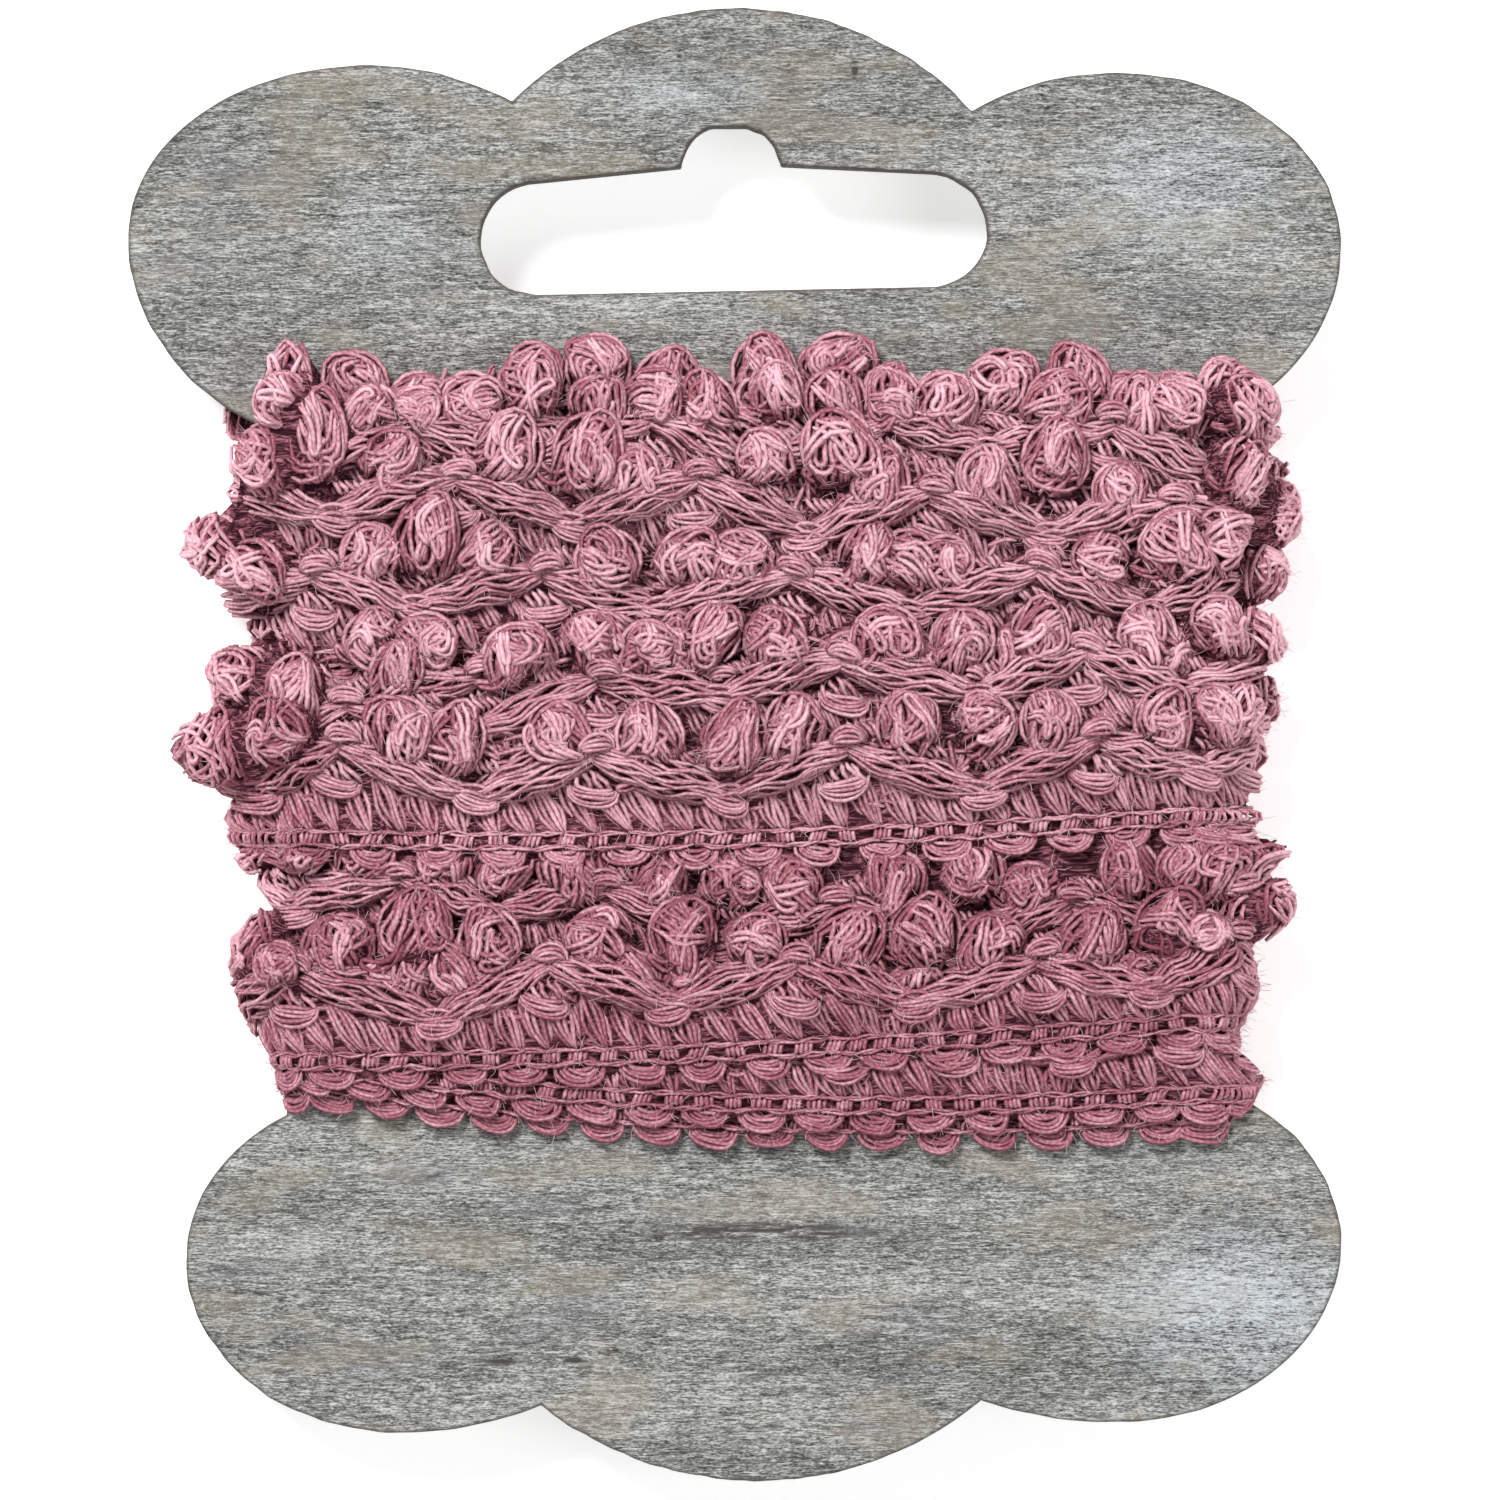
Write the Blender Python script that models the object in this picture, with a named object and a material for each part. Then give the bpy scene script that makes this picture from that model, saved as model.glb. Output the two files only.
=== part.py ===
"""Crochet lace trim with a bobbled edge, wound round the waist of a scalloped wooden card.

The card lies on its back: +X is to the right of its face, +Y is towards the hanging slot, +Z is up,
and z = 0 is the surface that the wound trim rests on. Sizes are in millimetres until a mesh is made.
"""

import math
from collections import namedtuple

import bpy
import numpy as np

MM = 0.001

CARD_THICK = 3.0
CARD_MID_Z = 6.1

# Each lobe is an oval about its centre, with its own reach to the outside, up and down.
Lobe = namedtuple("Lobe", "x y outward up down")
TOP_LEFT = Lobe(-25.1, 34.6, 16.25, 11.7, 14.35)
TOP_RIGHT = Lobe(26.1, 34.0, 15.25, 11.8, 13.3)
BOTTOM_LEFT = Lobe(-22.8, -35.1, 14.6, 11.6, 11.8)
BOTTOM_RIGHT = Lobe(26.1, -34.0, 15.25, 11.9, 12.2)
Crown = namedtuple("Crown", "x y radius left_notch right_notch")
TOP_CROWN = Crown(0.2, 28.4, 21.8, -15.2, 16.2)
BOTTOM_CROWN = Crown(1.6, -26.4, 23.8, -13.2, 16.8)
WAIST_LEFT = -30.5
WAIST_RIGHT = 32.5
ARC_STEPS = 9

# The hanging slot: two round ends, and a bump in its upper edge with a short flat for the hook.
SLOT_LEFT = (-13.5, 34.5)
SLOT_RIGHT = (13.4, 35.1)
SLOT_RADIUS = 3.85
BUMP_X = -0.25
BUMP_HALF = 3.35
BUMP_FOOT = 39.4
BUMP_TOP = 42.1
BUMP_CORNER = 2.1

# The wound strip follows the waist, a flat core with round edges.
CORE_RADIUS = 1.5
CORE_LEFT = WAIST_LEFT + CORE_RADIUS
CORE_RIGHT = WAIST_RIGHT - CORE_RADIUS
FRONT = CORE_RIGHT - CORE_LEFT
MEAN_RADIUS = 4.0
EDGE = math.pi * MEAN_RADIUS
LOOP = 2 * (FRONT + EDGE)
CLEAR = 0.3

# Across the strip, from its scallop edge.
PERIOD = 16.5
POSTS_FROM, POSTS_TO = 2.0, 4.4
VALLEY, PEAK = 4.7, 7.2
BOBBLE_AT = 9.4
BOBBLE_PLACES = (0.22, 0.53, 0.79)
BOBBLE_HIGH = 4.2
SETTLES_TO = 0.72
PACKS_UNDER = 9.0

# Each turn in the order it was wound: its scallop edge's height at the left, middle and right of the
# front, and the place of one peak of its zigzag.
Turn = namedtuple("Turn", "left middle right peak")
TURNS = (
    Turn(15.3, 15.6, 14.9, -18.0),
    Turn(14.1, 14.6, 13.6, -5.7),
    Turn(10.8, 10.4, 9.2, -2.5),
    Turn(4.2, 4.3, 4.6, 3.9),
    Turn(-2.1, -3.1, -3.4, -17.2),
    Turn(-5.0, -2.4, -1.0, 7.2),
    Turn(-16.0, -18.1, -18.1, 7.0),
    Turn(-24.4, -27.3, -26.6, -2.0),
    Turn(-23.5, -26.0, -25.4, 2.2),
    Turn(-23.2, -22.4, -20.5, 4.3),
    Turn(-8.0, -8.0, -6.5, 7.8),
)
TUCKED_END = 20.0
END_TAPER = 4.0

# The height map of the winding, and the loft that is read from it.
CELL = 0.5
MAP_LOW, MAP_HIGH = -30.0, 30.0
FRONT_STEPS, EDGE_STEPS, BACK_STEPS, ROWS = 56, 10, 36, 46
SIDE_RIM = {"left": (-24.6, 20.5), "right": (-22.7, 21.4)}
SHOULDER_RIM = (-25.6, 24.0)
THINNEST = 0.7
RIM_ROWS = 5
CALM_COLUMNS = 6


def clear_scene():
    for old in list(bpy.data.objects):
        bpy.data.objects.remove(old, do_unlink=True)


def material(name, colour, roughness):
    finish = bpy.data.materials.new(name)
    finish.use_nodes = True
    shader = finish.node_tree.nodes["Principled BSDF"]
    shader.inputs["Base Color"].default_value = (*colour, 1.0)
    shader.inputs["Roughness"].default_value = roughness
    shader.inputs["Metallic"].default_value = 0.0
    return finish


def crown_height(crown, x, sign):
    return crown.y + sign * math.sqrt(crown.radius**2 - (x - crown.x) ** 2)


def lobe_arc(lobe, crown, waist, sign):
    """The lobe's edge from the waist, round its outside, to its notch with the crown.

    sign is 1 at the top of the card and -1 at the bottom.
    """
    side = math.copysign(1, lobe.x)
    notch_x = crown.left_notch if side < 0 else crown.right_notch
    rise = sign * (crown_height(crown, notch_x, sign) - lobe.y)
    outer, inner = (lobe.up, lobe.down) if sign > 0 else (lobe.down, lobe.up)
    inward = abs(notch_x - lobe.x) / math.sqrt(1 - (rise / outer) ** 2)
    waist_turn = -math.acos(side * (waist - lobe.x) / lobe.outward)
    notch_turn = math.pi - math.asin(rise / outer)
    points = []
    for step in range(2 * ARC_STEPS + 1):
        turn = waist_turn + (notch_turn - waist_turn) * step / (2 * ARC_STEPS)
        reach = lobe.outward if math.cos(turn) > 0 else inward
        height = outer if math.sin(turn) > 0 else inner
        points.append((lobe.x + side * reach * math.cos(turn), lobe.y + sign * height * math.sin(turn)))
    return points


def crown_arc(crown, sign):
    """The middle lobe's edge between its notches, from left to right, without the notches."""
    points = []
    for step in range(1, 2 * ARC_STEPS):
        x = crown.left_notch + (crown.right_notch - crown.left_notch) * step / (2 * ARC_STEPS)
        points.append((x, crown_height(crown, x, sign)))
    return points


def card_outline():
    top = lobe_arc(TOP_LEFT, TOP_CROWN, WAIST_LEFT, 1) + crown_arc(TOP_CROWN, 1)
    top += reversed(lobe_arc(TOP_RIGHT, TOP_CROWN, WAIST_RIGHT, 1))
    bottom = lobe_arc(BOTTOM_RIGHT, BOTTOM_CROWN, WAIST_RIGHT, -1) + crown_arc(BOTTOM_CROWN, -1)[::-1]
    bottom += reversed(lobe_arc(BOTTOM_LEFT, BOTTOM_CROWN, WAIST_LEFT, -1))
    return top + bottom


def arc(centre, radius, start, end, steps):
    points = []
    for step in range(steps + 1):
        turn = math.radians(start + (end - start) * step / steps)
        points.append((centre[0] + radius * math.cos(turn), centre[1] + radius * math.sin(turn)))
    return points


def slot_outline():
    corner_y = BUMP_TOP - BUMP_CORNER
    corner_x = BUMP_HALF - BUMP_CORNER
    points = arc(SLOT_LEFT, SLOT_RADIUS, 270, 92, 10)
    points.append((BUMP_X - BUMP_HALF, BUMP_FOOT))
    points += arc((BUMP_X - corner_x, corner_y), BUMP_CORNER, 180, 90, 4)
    points += arc((BUMP_X + corner_x, corner_y), BUMP_CORNER, 90, 0, 4)
    points.append((BUMP_X + BUMP_HALF, BUMP_FOOT))
    points += arc(SLOT_RIGHT, SLOT_RADIUS, 88, -90, 10)
    return points


def make_card(collection):
    """The card is one flat outline with the slot as its hole, as thick as thin plywood."""
    curve = bpy.data.curves.new("card", "CURVE")
    curve.dimensions = "2D"
    curve.fill_mode = "BOTH"
    curve.extrude = CARD_THICK / 2 * MM
    for outline in (card_outline(), slot_outline()):
        spline = curve.splines.new("POLY")
        spline.points.add(len(outline) - 1)
        spline.points.foreach_set("co", [n for x, y in outline for n in (x * MM, y * MM, 0, 1)])
        spline.use_cyclic_u = True
    card = bpy.data.objects.new("card", curve)
    card.location.z = CARD_MID_Z * MM
    curve.materials.append(material("weathered_wood", (0.26, 0.25, 0.23), 0.75))
    collection.objects.link(card)


def smooth_step(amount):
    amount = np.clip(amount, 0, 1)
    return amount * amount * (3 - 2 * amount)


def front_edge(turn, along):
    """The height of a turn's scallop edge on the front, a gentle bow through its three heights."""
    t = along / FRONT
    return turn.left * (1 - t) * (1 - 2 * t) + turn.middle * 4 * t * (1 - t) + turn.right * t * (2 * t - 1)


def full_turn(turn, after, along):
    """Edge height and zigzag phase of a turn, all round to where the next turn starts."""
    back = smooth_step((along - FRONT - EDGE) / FRONT)
    edge = np.where(along < FRONT, front_edge(turn, along), turn.right + (after.left - turn.right) * back)
    leaves = (CORE_RIGHT - turn.peak) / PERIOD
    arrives = (CORE_LEFT - after.peak) / PERIOD
    rest = LOOP - FRONT
    turns_round = arrives - leaves + round(rest / PERIOD - arrives + leaves)
    front_phase = (CORE_LEFT + along - turn.peak) / PERIOD
    phase = np.where(along < FRONT, front_phase, leaves + (along - FRONT) / rest * turns_round)
    return edge, phase


def scatter(number):
    """A fixed value between 0 and 1 for each whole number."""
    return np.abs(np.sin(number * 12.9898 + 4.1) * 43758.5453) % 1.0


def relief(across, phase, seed):
    """The strip's own thickness at each point, 0 where there is no strip."""
    scallop = 0.9 * (across > 0.6 - 0.6 * np.abs(np.sin(4 * np.pi * phase)))
    posts = np.where((across > POSTS_FROM) & (across < POSTS_TO), 1.2, scallop)
    leaf = 1.7 * np.exp(-(((across - 4.0) / 0.7) ** 2)) * np.abs(np.cos(2 * np.pi * phase)) ** 3
    ridge = VALLEY + (PEAK - VALLEY) * np.abs(2 * (phase % 1) - 1)
    zigzag = 2.0 * np.sqrt(np.clip(1 - ((across - ridge) / 1.3) ** 2, 0, 1))
    thick = np.where((across > 0) & (across < PEAK + 1), np.maximum.reduce([posts, leaf, zigzag]), 0)
    for place in BOBBLE_PLACES:
        number = np.floor(phase - place + 0.5)
        size = 0.88 + 0.26 * scatter(number * 3 + place * 10 + seed * 37)
        aside = (phase - place - number) * PERIOD / (2.5 * size)
        off = (across - BOBBLE_AT) / (2.6 * size)
        dome = np.sqrt(np.clip(1 - aside**2 - off**2, 0, 1))
        thick = np.maximum(thick, BOBBLE_HIGH * size * dome)
    return thick


def softened(heights, passes):
    """The heights averaged with their neighbours. The map wraps round along the loop."""
    for _ in range(passes):
        heights = (np.roll(heights, 1, 0) + 2 * heights + np.roll(heights, -1, 0)) / 4
        padded = np.pad(heights, ((0, 0), (1, 1)), mode="edge")
        heights = (padded[:, :-2] + 2 * heights + padded[:, 2:]) / 4
    return heights


def wind():
    """The height of the winding over the core, turn laid on turn, on a map along by up."""
    along = np.arange(round(LOOP / CELL)) * LOOP / round(LOOP / CELL)
    up = np.arange(MAP_LOW, MAP_HIGH + CELL / 2, CELL)
    heights = np.zeros((len(along), len(up)))
    first, last = TURNS[0], TURNS[-1]
    starts = smooth_step((along - (LOOP - EDGE - TUCKED_END)) / END_TAPER)
    ends = smooth_step((FRONT + EDGE + TUCKED_END - along) / END_TAPER)
    stretches = [(*full_turn(first, first, along), starts)]
    for turn, after in zip(TURNS, TURNS[1:] + (last,)):
        stretches.append((*full_turn(turn, after, along), ends if turn is last else np.ones(len(along))))
    for seed, (edge, phase, full) in enumerate(stretches):
        thick = relief(up[None, :] - edge[:, None], phase[:, None] + 0 * up[None, :], seed)
        covered = np.where(thick > 0, full[:, None], 0)
        laid_on = SETTLES_TO * softened(heights, 5) + thick
        heights = heights + (laid_on - heights) * covered
    return along, up, PACKS_UNDER * np.tanh(softened(heights, 1) / PACKS_UNDER)


def read_map(along, up, heights, s, y):
    """The map's height at one place, blended between its cells."""
    column = s / LOOP * len(along)
    row = (y - MAP_LOW) / CELL
    i, j = int(column), int(row)
    a, b = column - i, row - j
    near, far = heights[i % len(along)], heights[(i + 1) % len(along)]
    return (near[j] * (1 - b) + near[j + 1] * b) * (1 - a) + (far[j] * (1 - b) + far[j + 1] * b) * a


def loft_columns():
    """Places along the loop where the loft has a column of points."""
    stops = ((0, FRONT, FRONT_STEPS), (FRONT, EDGE, EDGE_STEPS), (FRONT + EDGE, FRONT, BACK_STEPS))
    stops += ((2 * FRONT + EDGE, EDGE, EDGE_STEPS),)
    return [start + length * step / steps for start, length, steps in stops for step in range(steps)]


def core_place(s):
    """The core's centre line and outward direction in x and z, and how far round an edge it is."""
    if s <= FRONT:
        return CORE_LEFT + s, 0.0, 1.0, None, 0.0
    if s < FRONT + EDGE:
        turn = (s - FRONT) / EDGE * math.pi
        return CORE_RIGHT, math.sin(turn), math.cos(turn), "right", turn
    if s <= 2 * FRONT + EDGE:
        return CORE_RIGHT - (s - FRONT - EDGE), 0.0, -1.0, None, math.pi
    turn = (s - 2 * FRONT - EDGE) / EDGE * math.pi
    return CORE_LEFT, -math.sin(turn), -math.cos(turn), "left", turn


def rim(heights, up, column, side, turn):
    """The lowest and highest point of the winding in one column, clear of the card's lobes."""
    filled = up[heights[column] > THINNEST]
    low, high = filled.min(), filled.max()
    if side and abs(math.cos(turn)) < 0.9:
        low, high = max(low, SIDE_RIM[side][0]), min(high, SIDE_RIM[side][1])
    elif side:
        low, high = max(low, SHOULDER_RIM[0]), min(high, SHOULDER_RIM[1])
    return low, high


def row_heights(rims):
    """Each column's rows: level across the winding, and bent to its bobbled rims in the last few."""
    near = range(-CALM_COLUMNS, CALM_COLUMNS + 1)
    calm = sum(np.roll(rims, shift, 0) for shift in near) / len(near)
    row = np.arange(ROWS + 1)
    to_low = np.clip(1 - row / RIM_ROWS, 0, 1)
    to_high = np.clip(1 - (ROWS - row) / RIM_ROWS, 0, 1)
    level = calm[:, :1] + (calm[:, 1:] - calm[:, :1]) * row / ROWS
    return level + (rims - calm)[:, :1] * to_low + (rims - calm)[:, 1:] * to_high


def make_trim(collection):
    """A closed ring: the relief of the winding outside, and a flat tunnel for the waist inside."""
    along, up, heights = wind()
    places = loft_columns()
    sections = [core_place(s) for s in places]
    nearest = [round(s / LOOP * len(along)) % len(along) for s in places]
    rims = [rim(heights, up, column, *section[3:]) for column, section in zip(nearest, sections)]
    verts = []
    for s, (x, out_x, out_z, _, _), rows in zip(places, sections, row_heights(np.array(rims))):
        inside = (CORE_RADIUS + CLEAR) / max(abs(out_x), abs(out_z))
        for y in rows:
            raised = read_map(along, up, heights, s, y)
            reach = max(CORE_RADIUS + raised, inside + THINNEST)
            z = max(CARD_MID_Z + out_z * reach, 0.0)
            verts.append((x + out_x * reach, y, z))
        for y in (rows[-1], rows[0]):
            verts.append((x + out_x * inside, y, CARD_MID_Z + out_z * inside))
    ring = ROWS + 3
    faces = []
    for column in range(len(places)):
        here, there = column * ring, (column + 1) % len(places) * ring
        for row in range(ring):
            above = (row + 1) % ring
            faces.append((here + row, there + row, there + above, here + above))
    mesh = bpy.data.meshes.new("wound_trim")
    mesh.from_pydata([(x * MM, y * MM, z * MM) for x, y, z in verts], [], faces)
    mesh.materials.append(material("rose_cotton", (0.47, 0.18, 0.24), 0.9))
    mesh.shade_smooth()
    mesh.set_sharp_from_angle(angle=math.radians(60))
    collection.objects.link(bpy.data.objects.new("wound_trim", mesh))


clear_scene()
parts = bpy.data.collections.new("crochet_lace_trim_on_card")
bpy.context.scene.collection.children.link(parts)
make_card(parts)
make_trim(parts)
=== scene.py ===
"""Crochet lace trim with bobbles, wound round the waist of a weathered wooden card.

The card lies face up: +X is to the right of its face, +Y is towards the hanging slot and +Z is up.
Sizes are in millimetres until a mesh is made, and MM turns them into metres.
"""

import math
from collections import namedtuple

import bmesh
import bpy
import numpy as np
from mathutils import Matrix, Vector


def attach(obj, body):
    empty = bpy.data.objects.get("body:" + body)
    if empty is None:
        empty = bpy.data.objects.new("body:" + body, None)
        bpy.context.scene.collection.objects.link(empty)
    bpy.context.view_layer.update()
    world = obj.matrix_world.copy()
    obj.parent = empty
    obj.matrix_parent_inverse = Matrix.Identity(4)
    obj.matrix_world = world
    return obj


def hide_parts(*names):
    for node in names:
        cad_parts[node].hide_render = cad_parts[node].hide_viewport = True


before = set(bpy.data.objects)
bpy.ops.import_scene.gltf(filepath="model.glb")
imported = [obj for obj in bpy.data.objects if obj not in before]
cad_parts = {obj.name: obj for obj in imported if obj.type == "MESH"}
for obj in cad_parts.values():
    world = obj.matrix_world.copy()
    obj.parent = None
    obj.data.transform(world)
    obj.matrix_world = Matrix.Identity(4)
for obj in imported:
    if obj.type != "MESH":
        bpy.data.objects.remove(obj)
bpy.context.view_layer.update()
MM = 0.001

# The table, the light and the camera
# A plain white light table in a small studio, which glows a little, with one broad soft lamp beyond its
# top left corner, a weaker one on the right, and a pale room. The camera looks straight down.
TABLE_REACH = 1500
WALL_HIGH = 300
VIEW_MIDDLE = (1.05, -0.37)
VIEW_WIDTH = 102.04
VIEW_LEVEL = 9.0
LENS, SENSOR = 250, 36
studio = bpy.context.scene


class Wire:
    """One socket of a material: arithmetic on it adds Math nodes, and node() adds any other node."""

    def __init__(self, tree, socket=None):
        self.tree, self.socket = tree, socket

    def node(self, kind, settings, sockets, out=0):
        made = self.tree.nodes.new("ShaderNode" + kind)
        for name, value in settings.items():
            if name == "stops":
                ramp = made.color_ramp
                while len(ramp.elements) < len(value):
                    ramp.elements.new(0.5)
                for element, (place, colour) in zip(ramp.elements, value):
                    element.position, element.color = place, (*colour, 1)
            else:
                setattr(made, name, value)
        for name, value in sockets.items():
            if isinstance(value, Wire):
                self.tree.links.new(value.socket, made.inputs[name])
            else:
                made.inputs[name].default_value = value
        return Wire(self.tree, made.outputs[out])

    def maths(self, operation, *values):
        return self.node("Math", {"operation": operation}, dict(enumerate(values)))

    def __add__(self, other):
        return self.maths("ADD", self, other)

    def __sub__(self, other):
        return self.maths("SUBTRACT", self, other)

    def __rsub__(self, other):
        return self.maths("SUBTRACT", other, self)

    def __mul__(self, other):
        return self.maths("MULTIPLY", self, other)

    __radd__, __rmul__ = __add__, __mul__

    def sine(self):
        return self.maths("SINE", self)

    def vector(self, operation, other):
        return self.node("VectorMath", {"operation": operation}, {0: self, 1: other})

    def ramp(self, *stops):
        """The colour that this value has on a ramp of places and colours."""
        return self.node("ValToRGB", {"stops": stops}, {"Fac": self})

    def relief(self, strength, deep):
        """The surface's direction where this is its height, and deep the millimetres from 0 to 1."""
        return self.node("Bump", {}, {"Strength": strength, "Distance": deep * MM, "Height": self})

    def attribute(self, name):
        return self.node("Attribute", {"attribute_name": name}, {}, 2)

    def between(self, low, high):
        """0 below low, 1 above high and a soft step between them."""
        ends = {"Value": self, "From Min": low, "From Max": high}
        return self.node("MapRange", {"interpolation_type": "SMOOTHSTEP"}, ends)

    def mix(self, first, second):
        """The colour first where this is 0, and second where it is 1."""
        first, second = (c if isinstance(c, Wire) else (*c, 1) for c in (first, second))
        return self.node("Mix", {"data_type": "RGBA"}, {0: self, 6: first, 7: second}, 2)


def new_finish(name, look=None, **constants):
    """A new material with the values that are the same all over. What look gives varies with the place."""
    made = bpy.data.materials.new(name)
    made.use_nodes = True
    shader = made.node_tree.nodes["Principled BSDF"]
    for socket, value in constants.items():
        shader.inputs[socket.replace("_", " ")].default_value = value
    if look:
        place = Wire(made.node_tree).node("TexCoord", {}, {}, 3).vector("MULTIPLY", (1 / MM,) * 3)
        for socket, wire in look(place).items():
            made.node_tree.links.new(wire.socket, shader.inputs[socket])
    return made


def add_object(name, mesh, finish):
    mesh.materials.append(finish)
    made = bpy.data.objects.new(name, mesh)
    studio.collection.objects.link(made)
    return made


def add_mesh(name, finish, verts, faces):
    mesh = bpy.data.meshes.new(name)
    mesh.from_pydata([tuple(c * MM for c in vert) for vert in verts], [], faces)
    return add_object(name, mesh, finish)


def add_lamp(name, place, size, power):
    lamp = bpy.data.objects.new(name, bpy.data.lights.new(name, "AREA"))
    lamp.data.shape, lamp.data.size, lamp.data.energy = "DISK", size, power
    lamp.location = place
    lamp.rotation_euler = (-Vector(place)).to_track_quat("-Z", "Y").to_euler()
    studio.collection.objects.link(lamp)


table_finish = new_finish("table_top", Base_Color=(0.93, 0.93, 0.93, 1), Roughness=0.6,
                          Emission_Color=(1, 1, 1, 1), Emission_Strength=0.5)
corners = [(x * TABLE_REACH, y * TABLE_REACH, 0) for x, y in ((-1, -1), (1, -1), (1, 1), (-1, 1))]
table = add_mesh("table_top", table_finish, corners, [(0, 1, 2, 3)])
wall_finish = new_finish("studio_wall", Base_Color=(0.9, 0.9, 0.9, 1), Roughness=1.0,
                         Emission_Color=(1, 1, 1, 1), Emission_Strength=0.85)
tops = [(x, y, WALL_HIGH) for x, y, _ in corners]
sides = [(i, (i + 1) % 4, (i + 1) % 4 + 4, i + 4) for i in range(4)]
wall = add_mesh("studio_wall", wall_finish, corners + tops, sides)
add_lamp("window_lamp", (-0.35, 0.55, 0.8), 0.4, 11.5)
add_lamp("fill_lamp", (0.7, -0.25, 0.8), 0.6, 3.5)
room = bpy.data.worlds.new("room")
room.use_nodes = True
room.node_tree.nodes["Background"].inputs["Color"].default_value = (1, 1, 1, 1)
room.node_tree.nodes["Background"].inputs["Strength"].default_value = 0.32
studio.world = room
studio.view_settings.view_transform = "Standard"

camera = bpy.data.objects.new("camera", bpy.data.cameras.new("camera"))
camera.data.lens, camera.data.sensor_width = LENS, SENSOR
camera.data.clip_start, camera.data.clip_end = 0.01, 10
camera.location = [c * MM for c in (*VIEW_MIDDLE, VIEW_LEVEL + VIEW_WIDTH * LENS / SENSOR)]
studio.collection.objects.link(camera)
studio.camera = camera

# The card
# A flat card of thin grey plywood, cut by laser, so that its rim is scorched. It has three lobes at
# each end, a waist for the trim, and a hanging slot with a bump for the hook. Its face is bare wood,
# weathered, with long fine grain across the card.
CARD_THICK = 3.0
CARD_MID_Z = 6.1
Lobe = namedtuple("Lobe", "x y outward outer inner")
TOP_LEFT = Lobe(-25.1, 34.6, 16.25, 11.7, 14.35)
TOP_RIGHT = Lobe(26.1, 34.0, 15.25, 11.8, 13.3)
BOTTOM_LEFT = Lobe(-22.8, -35.1, 14.6, 11.8, 11.6)
BOTTOM_RIGHT = Lobe(26.1, -34.0, 15.25, 12.2, 11.9)
Crown = namedtuple("Crown", "x y radius left_notch right_notch")
TOP_CROWN = Crown(0.2, 28.4, 21.8, -15.2, 16.2)
BOTTOM_CROWN = Crown(1.6, -26.4, 23.8, -13.2, 16.8)
WAIST_LEFT, WAIST_RIGHT = -30.5, 32.5
CURVE_STEPS = 81
SLOT_LEFT, SLOT_RIGHT, SLOT_RADIUS = (-13.5, 34.5), (13.4, 35.1), 3.85
BUMP_X, BUMP_HALF, BUMP_FOOT, BUMP_TOP, BUMP_FLAT = -0.25, 3.35, 39.4, 42.1, 0.95
SCORCH_WIDTH = 0.45
RIM_ROUND = 0.12
RIM_SHAKES, SLOT_SHAKES = 0.02, 0.03


def crown_height(crown, x, sign):
    return crown.y + sign * math.sqrt(crown.radius**2 - (x - crown.x) ** 2)


def lobe_arc(lobe, crown, waist, sign):
    """The lobe's edge from the waist round to its notch. sign is 1 at the top and -1 at the bottom."""
    side, notch_x = (-1, crown.left_notch) if lobe.x < 0 else (1, crown.right_notch)
    rise = sign * (crown_height(crown, notch_x, sign) - lobe.y)
    inward = abs(notch_x - lobe.x) / math.sqrt(1 - (rise / lobe.outer) ** 2)
    waist_turn = -math.acos(side * (waist - lobe.x) / lobe.outward)
    notch_turn = math.pi - math.asin(rise / lobe.outer)
    points = []
    for turn in np.linspace(waist_turn, notch_turn, CURVE_STEPS):
        reach = lobe.outward if math.cos(turn) > 0 else inward
        height = lobe.outer if math.sin(turn) > 0 else lobe.inner
        points.append((lobe.x + side * reach * math.cos(turn), lobe.y + sign * height * math.sin(turn)))
    return points


def crown_arc(crown, sign):
    stops = np.linspace(crown.left_notch, crown.right_notch, CURVE_STEPS)[1:-1]
    return [(x, crown_height(crown, x, sign)) for x in stops]


def half_outline(left, right, crown, sign):
    """One end of the card, from its left side of the waist to its right."""
    points = lobe_arc(left, crown, WAIST_LEFT, sign) + crown_arc(crown, sign)
    return points + lobe_arc(right, crown, WAIST_RIGHT, sign)[::-1]


def arc(centre, radius, start, end, steps, high=None):
    """Part of a circle, or of an ellipse as high as it is told."""
    turns = np.radians(np.linspace(start, end, steps + 1))
    return [(centre[0] + radius * math.cos(t), centre[1] + (high or radius) * math.sin(t)) for t in turns]


def slot_outline():
    wide, high = BUMP_HALF - BUMP_FLAT, BUMP_TOP - BUMP_FOOT + 0.3
    points = arc(SLOT_LEFT, SLOT_RADIUS, 270, 92, 24)
    points += arc((BUMP_X - BUMP_FLAT, BUMP_TOP - high), wide, 174, 90, 12, high)
    points += arc((BUMP_X + BUMP_FLAT, BUMP_TOP - high), wide, 90, 6, 12, high)
    return points + arc(SLOT_RIGHT, SLOT_RADIUS, 88, -90, 24)


def shaky(outline, amount):
    """The outline with the small unevenness of a cut edge."""
    at = np.arange(len(outline))
    wave = np.sin(at * 0.9) + np.sin(at * 0.37 + 2) + 0.7 * np.sin(at * 1.7 + 5)
    return [(x + amount * w, y + amount * w) for (x, y), w in zip(outline, wave)]


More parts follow.
